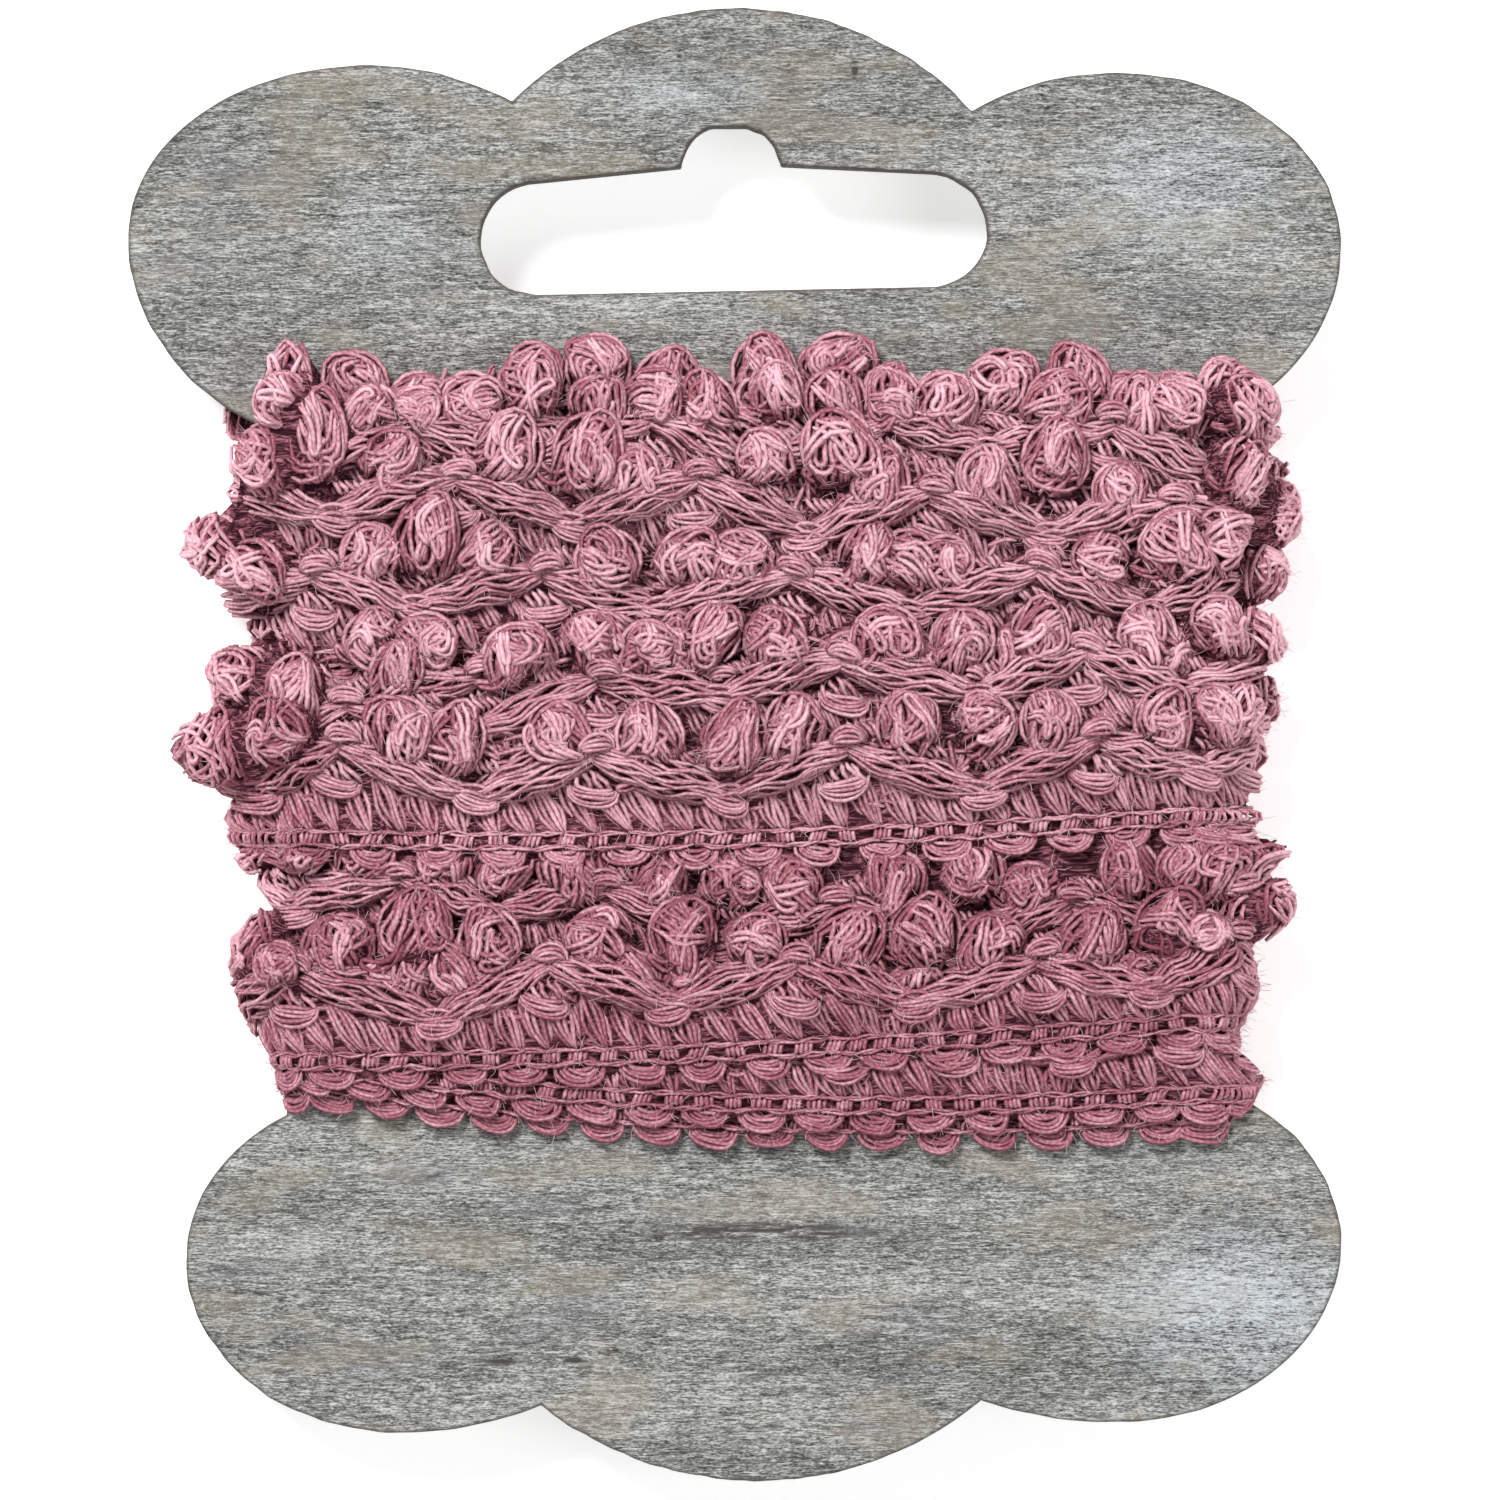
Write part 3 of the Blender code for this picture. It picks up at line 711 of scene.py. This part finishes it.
class Skein:
    """The threads of one piece, gathered by their number of points and sides for a single mesh."""

    def __init__(self, shade=0.0):
        self.batches, self.shade = {}, shade

    def lay(self, s, v, out, radius=THREAD, drape=1.0, shade=0.0):
        """Threads given by place along the strip, across it and out of it, one row for each thread."""
        s, v, out = np.broadcast_arrays(s, v, out)
        if np.interp(s.mean(), strip, whole_run) < 0.5:
            return
        y = edge_at(s) + v
        ground = read(ground_map, s, y)
        height = ground * drape + ground.mean() * (1 - drape) + out
        height = np.minimum(height, read(lid_map, s, y) - THREAD)
        depth = read(final_map, s, y) - height
        paths, outward = over_core(s, y, height)
        # Threads on the sides of the winding face away from the lamps above, so their tone is made paler:
        # painted light.
        upright = 1 - np.abs(outward[..., 2]).mean(1)
        for path, straight_out, deep, painted_side_light in zip(paths, outward, depth, SIDES_PAINTED_LIGHT * upright):
            shown = np.flatnonzero(deep < SEEN_DEPTH)
            if len(shown):
                part = slice(max(shown[0] - 1, 0), shown[-1] + 2)
                sides = BACK_SIDES if path[:, 2].mean() < CARD_MID_Z - CORE_RADIUS else FRONT_SIDES
                # Each thread's tone is random, made darker by shade and by the piece's shade and paler by the
                # painted light on the sides. The bobbles' lower locks and the low turns bring painted shade
                # in through shade.
                tone = some(0, 1) - (shade - painted_side_light) - self.shade
                thread = path[part], straight_out[part], deep[part], radius, tone
                self.batches.setdefault((len(path[part]), sides), []).append(thread)

    def make(self, name, finish):
        """One mesh of all the threads. Its points are marked with the five YARN_MARKS."""
        verts, corners, sizes, base = [], [], [], 0
        marks = [[] for _ in YARN_MARKS]
        for (points, sides), batch in self.batches.items():
            paths, outward, depth, radius, tone = (np.array(column) for column in zip(*batch))
            thickness = np.repeat(radius[:, None], points, 1)
            thickness[:, [0, -1]] *= TIP
            verts.append(rings(paths, outward, thickness, sides).reshape(-1, 3))
            here = np.arange(sides)
            there = (here + 1) % sides
            ring = base + np.arange(len(paths) * points).reshape(-1, points, 1) * sides
            near, far = ring[:, :-1], ring[:, 1:]
            quads = np.stack([near + here, near + there, far + there, far + here], -1)
            caps = np.concatenate([ring[:, 0] + here[::-1], ring[:, -1] + here])
            corners += [quads.ravel(), caps.ravel()]
            sizes += [4] * (quads.size // 4) + [sides] * len(caps)
            steps = np.linalg.norm(np.diff(paths, axis=1), axis=2)
            length = np.pad(np.cumsum(steps, 1), ((0, 0), (1, 0))) + TONE_SHIFT * tone[:, None]
            values = (np.cos(2 * np.pi * here / sides), np.minimum(here, sides - here) / sides,
                      length[..., None], depth[..., None], tone[:, None, None])
            for mark, value in zip(marks, values):
                mark.append(np.broadcast_to(value, (len(paths), points, sides)).ravel())
            base += len(paths) * points * sides
        corners = np.concatenate(corners)
        mesh = bpy.data.meshes.new(name)
        mesh.vertices.add(base)
        mesh.loops.add(len(corners))
        mesh.polygons.add(len(sizes))
        mesh.vertices.foreach_set("co", (np.concatenate(verts) * MM).astype(np.float32).ravel())
        mesh.loops.foreach_set("vertex_index", corners.astype(np.int32))
        mesh.polygons.foreach_set("loop_start", (np.cumsum(sizes) - sizes).astype(np.int32))
        mesh.update(calc_edges=True)
        for title, mark in zip(YARN_MARKS, marks):
            layer = mesh.attributes.new(title, "FLOAT", "POINT")
            layer.data.foreach_set("value", np.concatenate(mark).astype(np.float32))
        mesh.shade_smooth()
        return add_object(name, mesh, finish)


def wobble(threads, points, size, waves=1.1):
    """Small smooth wanderings along each of several threads."""
    t = np.linspace(0, 1, points)
    rate, start = waves * some(0.6, 1.4, (threads, 1)), some(0, 1, (threads, 1))
    return size * np.sin(2 * np.pi * (rate * t + start))


def swell(t):
    """0 at both ends and 1 in the middle."""
    return np.sin(np.pi * t)


def rose_cotton(place):
    crown, side, length, depth, tone = map(place.attribute, YARN_MARKS)
    yarn = place.node("CombineXYZ", {}, {"X": length, "Y": side})
    fibres = noise(yarn, (1.8, 9.0, 1.0), 4, 0.8)
    worn = noise(yarn, (0.6, 1.5, 1.0), 2).between(0.35, 0.65)
    cloud = noise(place, (0.12, 0.12, 0.12), 2)
    ply = ((length * (1 / PLY_PITCH) + side) * (4 * math.pi)).sine()
    # crown lightens the top of each thread and darkens its sides and underside: painted highlight and painted
    # shade.
    lightness = crown.between(-0.6, 1.0) * 0.22 + fibres * 0.62 + worn * 0.1
    # ply darkens the twist's grooves in faint bands: painted shade. tone adds each thread's random tone
    # together with the painted shade and light it carries.
    lightness = lightness + ply * 0.035 + tone * 0.14 + cloud * 0.18
    colour = lightness.ramp((0.32, (0.17, 0.037, 0.06)), (0.57, (0.35, 0.116, 0.156)),
                            (0.87, (0.85, 0.51, 0.585)))
    # Thread deep below the winding's top, between and under other threads, turns dark maroon: painted shade.
    colour = (depth.between(0.15, 1.2) * 0.65).mix(colour, (0.2, 0.045, 0.072))
    return {"Base Color": colour, "Normal": (fibres + ply * 0.12).relief(0.5, 0.06)}


cotton = new_finish("rose_cotton", rose_cotton, Roughness=0.9, Sheen_Weight=0.05, Sheen_Roughness=0.5,
                    Specular_IOR_Level=0.08)

# The scalloped foot
# The strip's lower edge: small scallops of five threads each, a ladder of two plaited lines with
# square holes between, and a row of slanted posts, eight to each period of the pattern.
LADDER_LOW, LADDER_HIGH, POST_TOP = 1.15, 2.1, 6.2
POST_LEAN = 0.62
POST_THREAD, SCALLOP_THREAD, LADDER_THREAD = 0.183, 0.165, 0.11
FOOT_SHADE, LADDER_SHADE = 0.35, 0.2


def scallop(skein, phase):
    """Arcs that hug one another under a small hole, from one pinch of the edge to the next."""
    t = np.linspace(0, 1, 10)
    rank = np.arange(5)[:, None]
    s = strip_at(phase)
    half = (1.62 - 0.19 * rank) * some(0.9, 1.08)
    drop = (1.42 - 0.24 * rank) * some(0.88, 1.12)
    skew = some(0.0, 0.5)
    aside = -half * np.cos(np.pi * t) + skew * swell(t) ** 2 + wobble(5, 10, 0.1)
    across = LADDER_LOW + 0.05 - drop * swell(t) ** 0.75 + wobble(5, 10, 0.08)
    out = 0.5 + 0.5 * swell(t) - 0.05 * rank + wobble(5, 10, 0.07)
    skein.lay(s + local_scale(s, 1.0) * aside, across, out, SCALLOP_THREAD, shade=FOOT_SHADE)


def plait(skein, s, scale, v, sway):
    """One stitch of a thin line: two threads that cross where the next begins. It dips at each pinch."""
    t = np.linspace(0, 1, 5)
    bulge = np.array([[0.08], [-0.08]]) * some(0.5, 1.5)
    s = s + scale * (1.12 * (2 * t - 1) + some(-0.1, 0.1))
    across = v - sway * np.cos(8 * np.pi * phase_at(s)) + bulge * swell(t) + wobble(2, 5, 0.07)
    out = 0.93 - 0.25 * bent(s) + bulge * np.cos(np.pi * t) + wobble(2, 5, 0.1)
    skein.lay(s, across, out, LADDER_THREAD, shade=LADDER_SHADE)


def post(skein, phase, ridge):
    """A slanted lens of threads down from the zigzag to a pinch on the ladder, and the ladder's rung."""
    t = np.linspace(0, 1, 7)
    rank = np.linspace(-1, 1, 5)[:, None]
    s = strip_at(phase)
    scale = local_scale(s, 3.0)
    top = min(POST_TOP, ridge - 0.6) + some(-0.2, 0.2)
    lean = POST_LEAN * (top - LADDER_HIGH) * (1 + 0.25 * math.sin(4.1 * phase)) * some(0.85, 1.15)
    belly = 0.24 + 0.64 * swell(np.clip(1.08 * t - 0.04, 0, 1)) ** 0.8 - 0.12 * t
    aside = rank * belly + lean * (t - 0.5) + 0.1 * np.sin(2 * np.pi * t) + wobble(5, 7, 0.1, 0.9)
    across = top - 0.12 * rank**2 + (LADDER_HIGH - 0.15 - top) * t
    out = 0.5 + 0.5 * swell(t) - 0.22 * rank**2 + wobble(5, 7, 0.08)
    skein.lay(s + scale * aside, across, out, POST_THREAD)
    t = np.linspace(0, 1, 4)
    block = np.linspace(-0.5, 0.5, 4)[:, None] * some(0.85, 1.15)
    aside = lean / 2 + block * (1.1 - 0.2 * swell(t)) + some(-0.4, 0.3) * (t - 0.5)
    across = LADDER_HIGH + (LADDER_LOW - LADDER_HIGH) * t
    skein.lay(s + scale * aside, across, 0.65 + 0.3 * swell(t) - 0.5 * block**2, shade=FOOT_SHADE / 2)
    plait(skein, s, scale, LADDER_HIGH, 0.04)
    plait(skein, s, scale, LADDER_LOW, 0.1)


# The leaves, the zigzag and its knots
# Above the posts runs a zigzag of thick bundles, fifteen loose threads in each, pinched where they
# meet. A small hood of threads rides on each peak, a leaf hangs under each peak and valley, and short
# slanted threads fill the row between the zigzag and the bobbles.
BUNDLE_HALF, BUNDLE_PINCH = 1.28, 0.3
BUNDLE_LAYERS = ((6, 0.72), (9, 1.0))
BUNDLE_THREAD, EYE_THREAD = 0.15, 0.16
LEAF_DROP = 3.3


def bundle(skein, twice):
    """Loose threads that wave together and slant a little across their bundle, in two layers."""
    points = 14
    t = np.linspace(0, 1, points)
    s_from, s_to = strip_at(twice / 2), strip_at((twice + 1) / 2)
    v_from, v_to = zigzag[twice], zigzag[twice + 1]
    scale = local_scale((s_from + s_to) / 2, (v_from + v_to) / 2)
    half = BUNDLE_PINCH + (BUNDLE_HALF * some(0.92, 1.1) - BUNDLE_PINCH) * swell(t) ** 0.8
    run, rise = (s_to - s_from) / scale, v_to - v_from
    long = math.hypot(run, rise)
    ease = -0.05 + 1.1 * t
    bow = some(-0.3, 0.3) * swell(t)
    twist = pick.choice((-1, 1)) * some(0.3, 1.0)
    wave = wobble(1, points, 0.1, 1.7)
    for threads, level in BUNDLE_LAYERS:
        rank = np.linspace(-1.05, 1.05, threads)[:, None] + some(-0.06, 0.06, (threads, 1))
        loose = (wave + wobble(threads, points, 0.17, 2.4)) * swell(t) ** 0.3
        spread = np.clip(rank + twist * level * (t - 0.5) + loose, -1.1, 1.1)
        s = s_from + (s_to - s_from) * ease - scale * half * spread * rise / long
        v = v_from + rise * ease + (half * spread + bow) * run / long
        dome = np.sqrt(np.clip(1.22 - spread**2, 0, 1.2))
        skein.lay(s, v, 0.65 + half * 1.2 * dome * level + wobble(threads, points, 0.12, 2.4), BUNDLE_THREAD)


def knot(skein, s, v):
    """Two short threads over the pinch between two bundles."""
    t = np.linspace(0, 1, 5)
    lean, bow = some(-0.9, 0.9), some(-0.3, 0.3)
    aside = np.array([[-0.22], [0.16]]) + lean * (t - 0.5) + bow * swell(t)
    skein.lay(s + local_scale(s, v) * aside, v + 0.7 * (1 - 2 * t), 0.75 + 0.6 * swell(t) ** 0.7, EYE_THREAD)


def fan(skein, phase, ridge):
    """Short threads that spread down from under a peak to the leaf that hangs there."""
    t = np.linspace(0, 1, 5)
    place = np.linspace(-1, 1, 4)[:, None] + some(-0.2, 0.2, (4, 1))
    s = strip_at(phase)
    aside = place * (1.1 - 0.3 * t) - 0.5 * (2 * t - 1) + wobble(4, 5, 0.12)
    across = ridge - LEAF_DROP + 0.7 + (LEAF_DROP - 1.6 - 0.4 * np.abs(place)) * t
    skein.lay(s + local_scale(s, ridge) * aside, across, 0.85 + 0.5 * swell(t), shade=-0.3)


def eye(skein, s, v, bow, half, out, threads):
    """A small stitch of curved threads, one inside another, that bow up or down from a flat side."""
    t = np.linspace(0, 1, 9)
    rank = np.linspace(0.1, 1, threads)[:, None]
    lean, skew = some(-0.35, 0.15), some(-0.3, 0.3)
    aside = -half * (0.7 + 0.3 * rank) * np.cos(np.pi * t) + skew * rank * swell(t)
    across = v + bow * rank * swell(t) ** 0.75 + lean * aside + wobble(threads, 9, 0.07)
    arch = out + 0.6 * swell(t) * np.cos(1.4 * (rank - 0.45)) + wobble(threads, 9, 0.07)
    skein.lay(s + local_scale(s, v) * aside, across, arch, EYE_THREAD)


def rope(skein, phase, v):
    """Four short threads side by side, slanted, on the row between the zigzag and the bobbles."""
    t = np.linspace(0, 1, 5)
    s = strip_at(phase)
    aside = 0.5 * (np.arange(4)[:, None] - 1.5) + 0.42 * (2 * t - 1) + wobble(4, 5, 0.08)
    skein.lay(s + local_scale(s, v) * aside, v + 0.5 * (1 - 2 * t), 0.9 + 0.4 * swell(t))


# The bobbles
# Three balls of drawn-up loops stand on each period of the zigzag. In each, threads rise from the
# foot, hook over the top one beside another and come down again, and some lie across them. A place on
# a ball's face is one complex number, -1 to 1 from left to right and -1j to 1j from foot to top.
LOOP_POINTS, RIM_POINTS, STALK_POINTS = 15, 12, 10
LOCK_STEP = 0.22
LOOP_HALF = 0.1
BOBBLE_THREAD, BOBBLE_DRAPE = 0.195, 0.4
STALKS = (-0.66, -0.22, 0.22, 0.66)
BELT = np.array([[1.0, 0.72], [0.97, 0.42], [0.88, 0.15]])
STRAY_THREADS, STRAY_POINTS = 4, 6


def hoop(t):
    """Round the rim, from the foot over the top."""
    return -0.86 * np.cos(np.pi * t) + 1j * (1.9 * swell(t) ** 0.6 - 1)


def stalk(t, x):
    """Up the ball in a gentle S."""
    wave = some(0.08, 0.22) * np.sin(2 * np.pi * (t * some(0.5, 0.9) + some(0, 1)))
    return x * (1 - 0.35 * t**2) + wave + 1j * (1.95 * t - 1)


def beside(line, threads):
    """Threads side by side along a middle line, a little loosely."""
    ahead = np.gradient(line)
    gaps = (np.arange(threads)[:, None] - (threads - 1) / 2) * LOCK_STEP
    gaps = gaps + wobble(threads, len(line), 0.08) + wobble(threads, len(line), 0.05, 2.0)
    return line + 1j * gaps * ahead / (np.abs(ahead) + 1e-6)


def hairpins(nested, start, end, bow):
    """Loops one inside another: down one side, round the end and back up the other side."""
    way = np.linspace(-1, 1, LOOP_POINTS)
    gap = LOOP_HALF + np.arange(nested)[:, None] * LOCK_STEP
    long, bend = abs(end - start), math.pi * gap
    along_it = (0.5 + 0.5 * np.sign(way) * np.abs(way) ** 1.5) * (2 * long + bend)
    turn = np.clip((along_it - long) / gap, 0, math.pi)
    level = np.clip(along_it, 0, long) - np.clip(along_it - long - bend, 0, None) + gap * np.sin(turn)
    side = gap * np.cos(turn) + bow * swell(0.9 * level / long) + wobble(nested, LOOP_POINTS, 0.04, 1.5)
    return start + (level + 1j * side) * (end - start) / long


def hanging(nested):
    """Loops that come over the top of the ball and hang down its face."""
    over, under = pick.normal(0, 0.6), pick.normal(0, 0.45)
    end = 0.75 * math.sin(under) - 1j * some(-0.15, 0.65) * math.cos(under)
    return hairpins(nested, 0.86j * np.exp(-1j * over), end, some(-0.45, 0.45))


def standing(nested):
    """Loops that stand up from the foot and end near the top."""
    x = some(-0.55, 0.55)
    end = 0.8 * x + pick.normal(0, 0.25) + 1j * some(-0.1, 0.6)
    return hairpins(nested, x - 0.85j, end, some(-0.45, 0.45))


def ball(skein, bobble):
    """A bobble: threads up its face and round its rim, and loops that hang and stand over them."""
    wide, tall, high = (half * bobble.size for half in BOBBLE_HALF)
    wide, tall = wide * some(0.92, 1.14), tall * bobble.tall * some(0.88, 1.06)
    high *= 1 + SIDE_PROUD * bent(bobble.s)
    scale = local_scale(bobble.s, bobble.v, high)
    rim, rise = np.linspace(0, 1, RIM_POINTS), np.linspace(0, 1, STALK_POINTS)
    lean = pick.normal(0, 0.35 if bobble.tall == 1 else 0.1)
    back = FRONT + EDGE < bobble.s % LOOP < LOOP - EDGE
    way = pick.normal(0, 0.3)
    bumps = some(0, 2 * np.pi, 2)

    def lay(line, out, **more):
        place = (wide * line.real + 1j * tall * line.imag) * np.exp(1j * lean)
        s, v = bobble.s + scale * place.real, bobble.v + place.imag
        skein.lay(s, v, out, BOBBLE_THREAD, BOBBLE_DRAPE, **more)

    locks = [(beside(hoop(rim), 2), -0.1, pick.normal(0, 0.3))]
    for x in STALKS:
        line = beside(stalk(rise, x + some(-0.1, 0.1)), 2)
        locks.append((line, some(-0.5, -0.15), way + pick.normal(0, 0.15)))
    for layer in range(3 if back else 8 if bent(bobble.s) > 0.5 else 6):
        loops = (hanging, hanging, standing)[pick.integers(3)](2 if layer < 2 else 1)
        locks.append((loops, min(0.08 * layer, 0.4), way + pick.normal(0, 0.55)))
    if pick.random() < 0.6:
        locks.append((hairpins(1, -0.3 - 0.3j, -1.2 + 1j * some(-0.8, 0.0), 0.3), -0.25, 0.0))
    for line, lift, angle in locks:
        line = line * np.exp(1j * angle)
        limit = 1 + 0.12 * np.sin(2 * np.angle(line) + bumps[0]) + 0.1 * np.sin(3 * np.angle(line) + bumps[1])
        line = line / np.maximum(np.abs(line), 1) ** (len(line) > 1)
        dome = np.sqrt(np.clip(1.04 - np.abs(line) ** 2, 0, 1))
        rank = np.linspace(-1, 1, len(line))[:, None] ** 2
        out = high * (BOBBLE_RIM + BOBBLE_DOME * dome) + lift - 0.1 * rank + wobble(*line.shape, 0.16, 1.8)
        # Locks set lower in the ball get a darker tone and those set higher a paler one: painted shade
        # beneath the top loops and painted light on them.
        lay(line * limit, out + pick.normal(0, 0.08), shade=0.3 - 2.0 * lift)
    belt = -BELT[:, :1] * np.exp(-1j * np.pi * (1.35 * rim - 0.175))
    lay(belt, high * BELT[:, 1:] + wobble(len(BELT), RIM_POINTS, 0.1))


def stray(skein, phase):
    """A few stray threads low in the strip, which show between the stitches."""
    size = STRAY_THREADS, 1
    t = np.linspace(0, 1, STRAY_POINTS)
    s = strip_at(phase)
    aside, across = some(-1.2, 1.2, size), some(3.5, 9.5, size)
    bend = some(-0.5, 0.5, size) + np.pi / 2 * pick.integers(0, 2, size)
    reach = some(1.8, 3.4, size) * (t - 0.5)
    aside = aside + reach * np.cos(bend) + wobble(STRAY_THREADS, STRAY_POINTS, 0.3, 0.5)
    across = across + reach * np.sin(bend) * 0.7 + wobble(STRAY_THREADS, STRAY_POINTS, 0.3, 0.5)
    out = 0.75 + wobble(STRAY_THREADS, STRAY_POINTS, 0.1, 0.5)
    skein.lay(s + aside * local_scale(s, 7.0), across, out, shade=FOOT_SHADE)


# The turns
# Each turn of the trim is one piece, from the front's left corner round to where the next one starts.
# The first of them is the tucked start behind the card's left side, and the last ends tucked in.
# The four lowest turns get a darker tone all through: painted shade, as the light falls from the top.
LOW_TURNS, LOW_TURNS_PAINTED_SHADE = (7, 8, 9, 10), 0.55
skeins = []
for number in range(len(TURNS) + 1):
    skein = Skein(LOW_TURNS_PAINTED_SHADE if number in LOW_TURNS else 0.0)
    first, last = phase_at(number * LOOP), phase_at((number + 1) * LOOP)
    for twice in range(math.ceil(2 * first), math.ceil(2 * last)):
        if twice in zigzag and twice + 1 in zigzag:
            s, v = strip_at(twice / 2), zigzag[twice]
            bundle(skein, twice)
            if twice % 2 == 0:
                eye(skein, s + some(-0.2, 0.5), v + 0.25, 1.05, 1.2, 1.7, 4)
                eye(skein, s + some(-0.5, 0.3), v - LEAF_DROP + 1.0, -1.35, 1.75, 1.0, 5)
                fan(skein, twice / 2, v)
            knot(skein, s, v)
            if twice % 2:
                eye(skein, s + some(-0.3, 0.3), v, 0.65, 1.3, 1.35, 2)
                eye(skein, s + some(-0.3, 0.3), v - 0.1, -1.25, 1.6, 1.25, 5)
    for eighth in range(math.ceil(8 * first), math.ceil(8 * last)):
        phase = (eighth + 0.5) / 8
        ridge = ridge_at(phase)
        post(skein, phase, ridge)
        stray(skein, phase)
        if eighth % 2 == 0:
            scallop(skein, (eighth + 1) / 8)
            rope(skein, phase, ridge + 1.5)
    for bobble in bobbles:
        if number * LOOP <= bobble.s < (number + 1) * LOOP:
            ball(skein, bobble)
    turn_piece = skein.make(f"turn_{number:02d}", cotton)
    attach(turn_piece, "root")
    skeins.append(skein)

# The fuzz
# The cotton is soft and a little worn, so that fine short fibres stand off every thread.
FIBRES = 22000
FIBRE_LONG = (0.35, 1.0)
FIBRE_HALF = 0.014
FIBRE_DEEPEST = 0.5
TABLE_GAP = 0.03


def make_fuzz(finish):
    """Each fibre is a flat ribbon of two steps, which faces out of the winding."""
    threads = [thread for skein in skeins for batch in skein.batches.values() for thread in batch]
    paths, outward, depth = (np.concatenate([thread[part] for thread in threads]) for part in range(3))
    chosen = pick.choice(np.flatnonzero(depth < FIBRE_DEEPEST), FIBRES, replace=False)
    root, out = paths[chosen], outward[chosen]
    first = out * some(0.0, 0.6, (FIBRES, 1)) + pick.normal(0, 0.55, (FIBRES, 3))
    first /= np.linalg.norm(first, axis=1, keepdims=True)
    bend = np.cross(first, pick.normal(0, 0.6, (FIBRES, 3)))
    t = np.linspace(0, 1, 3)[None, :, None]
    reach = some(*FIBRE_LONG, (FIBRES, 1, 1))
    hairs = root[:, None] + reach * (first[:, None] * t + bend[:, None] * t**2 * 0.9) + out[:, None] * THREAD
    hairs[..., 2] = np.maximum(hairs[..., 2], TABLE_GAP)
    aside = np.cross(np.gradient(hairs, axis=1), out[:, None])
    aside *= FIBRE_HALF / (np.linalg.norm(aside, axis=2, keepdims=True) + 1e-9)
    verts = np.stack([hairs - aside, hairs + aside], 2).reshape(-1, 3)
    corner = (np.arange(FIBRES)[:, None] * 6 + np.arange(2) * 2).reshape(-1, 1)
    return add_mesh("fuzz", finish, verts.tolist(), (corner + np.array([0, 1, 3, 2])).tolist())


def cotton_fuzz(place):
    tone = noise(place, (0.9, 0.9, 0.9), 1).between(0.35, 0.65)
    return {"Base Color": tone.mix((0.38, 0.17, 0.21), (0.62, 0.43, 0.47))}


fibres = make_fuzz(new_finish("cotton_fuzz", cotton_fuzz, Roughness=0.9, Specular_IOR_Level=0.1))
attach(fibres, "root")

# The packed threads beneath
# Between the threads that show, the turns close up into a mass of the same cotton, coloured dark
# as painted shade. It is one surface that follows the whole winding, a little below its threads.
BENEATH = 0.5
MASS_ROWS = 80
MASS_STRIDE = 2


def packed_mass(finish):
    """Columns of points all round the winding, each from its lowest to its highest row of threads."""
    filled = final_map[::MASS_STRIDE] > BENEATH + 0.3
    lows, highs = (np.array([end(up[column]) for column in filled]) for end in (np.min, np.max))
    share = np.linspace(0, 1, MASS_ROWS + 1)
    y = lows[:, None] * (1 - share) + highs[:, None] * share
    s = np.repeat(along[::MASS_STRIDE, None], MASS_ROWS + 1, 1)
    height = np.maximum(read(final_map, s, y) - BENEATH, 0.1)
    height[:, [0, -1]] = 0.0
    points, _ = over_core(s, y, height)
    here = np.arange(s.size).reshape(s.shape)
    there = np.roll(here, -1, 0)
    faces = np.stack([here[:, :-1], there[:, :-1], there[:, 1:], here[:, 1:]], -1).reshape(-1, 4)
    return add_mesh("packed_threads", finish, points.reshape(-1, 3), faces.tolist())


def shaded_cotton(place):
    threads = noise(place, (0.45, 1.9, 1.9), 2, 0.6, 2.2)
    fine = noise(place, (2.5, 6.0, 6.0), 3, 0.7)
    lightness = threads.between(0.4, 0.68) * 0.75 + fine * 0.4
    # The mass goes from dark maroon to dusky rose, far darker than the threads: painted shade of the hollows
    # between them.
    colour = lightness.ramp((0.2, (0.04, 0.011, 0.017)), (0.55, (0.16, 0.05, 0.07)),
                            (0.95, (0.42, 0.17, 0.22)))
    return {"Base Color": colour, "Normal": (threads + fine * 0.3).relief(0.9, 0.4)}


mass = packed_mass(new_finish("shaded_cotton", shaded_cotton, Roughness=0.95, Specular_IOR_Level=0.05))
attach(mass, "root")
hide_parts("wound_trim")
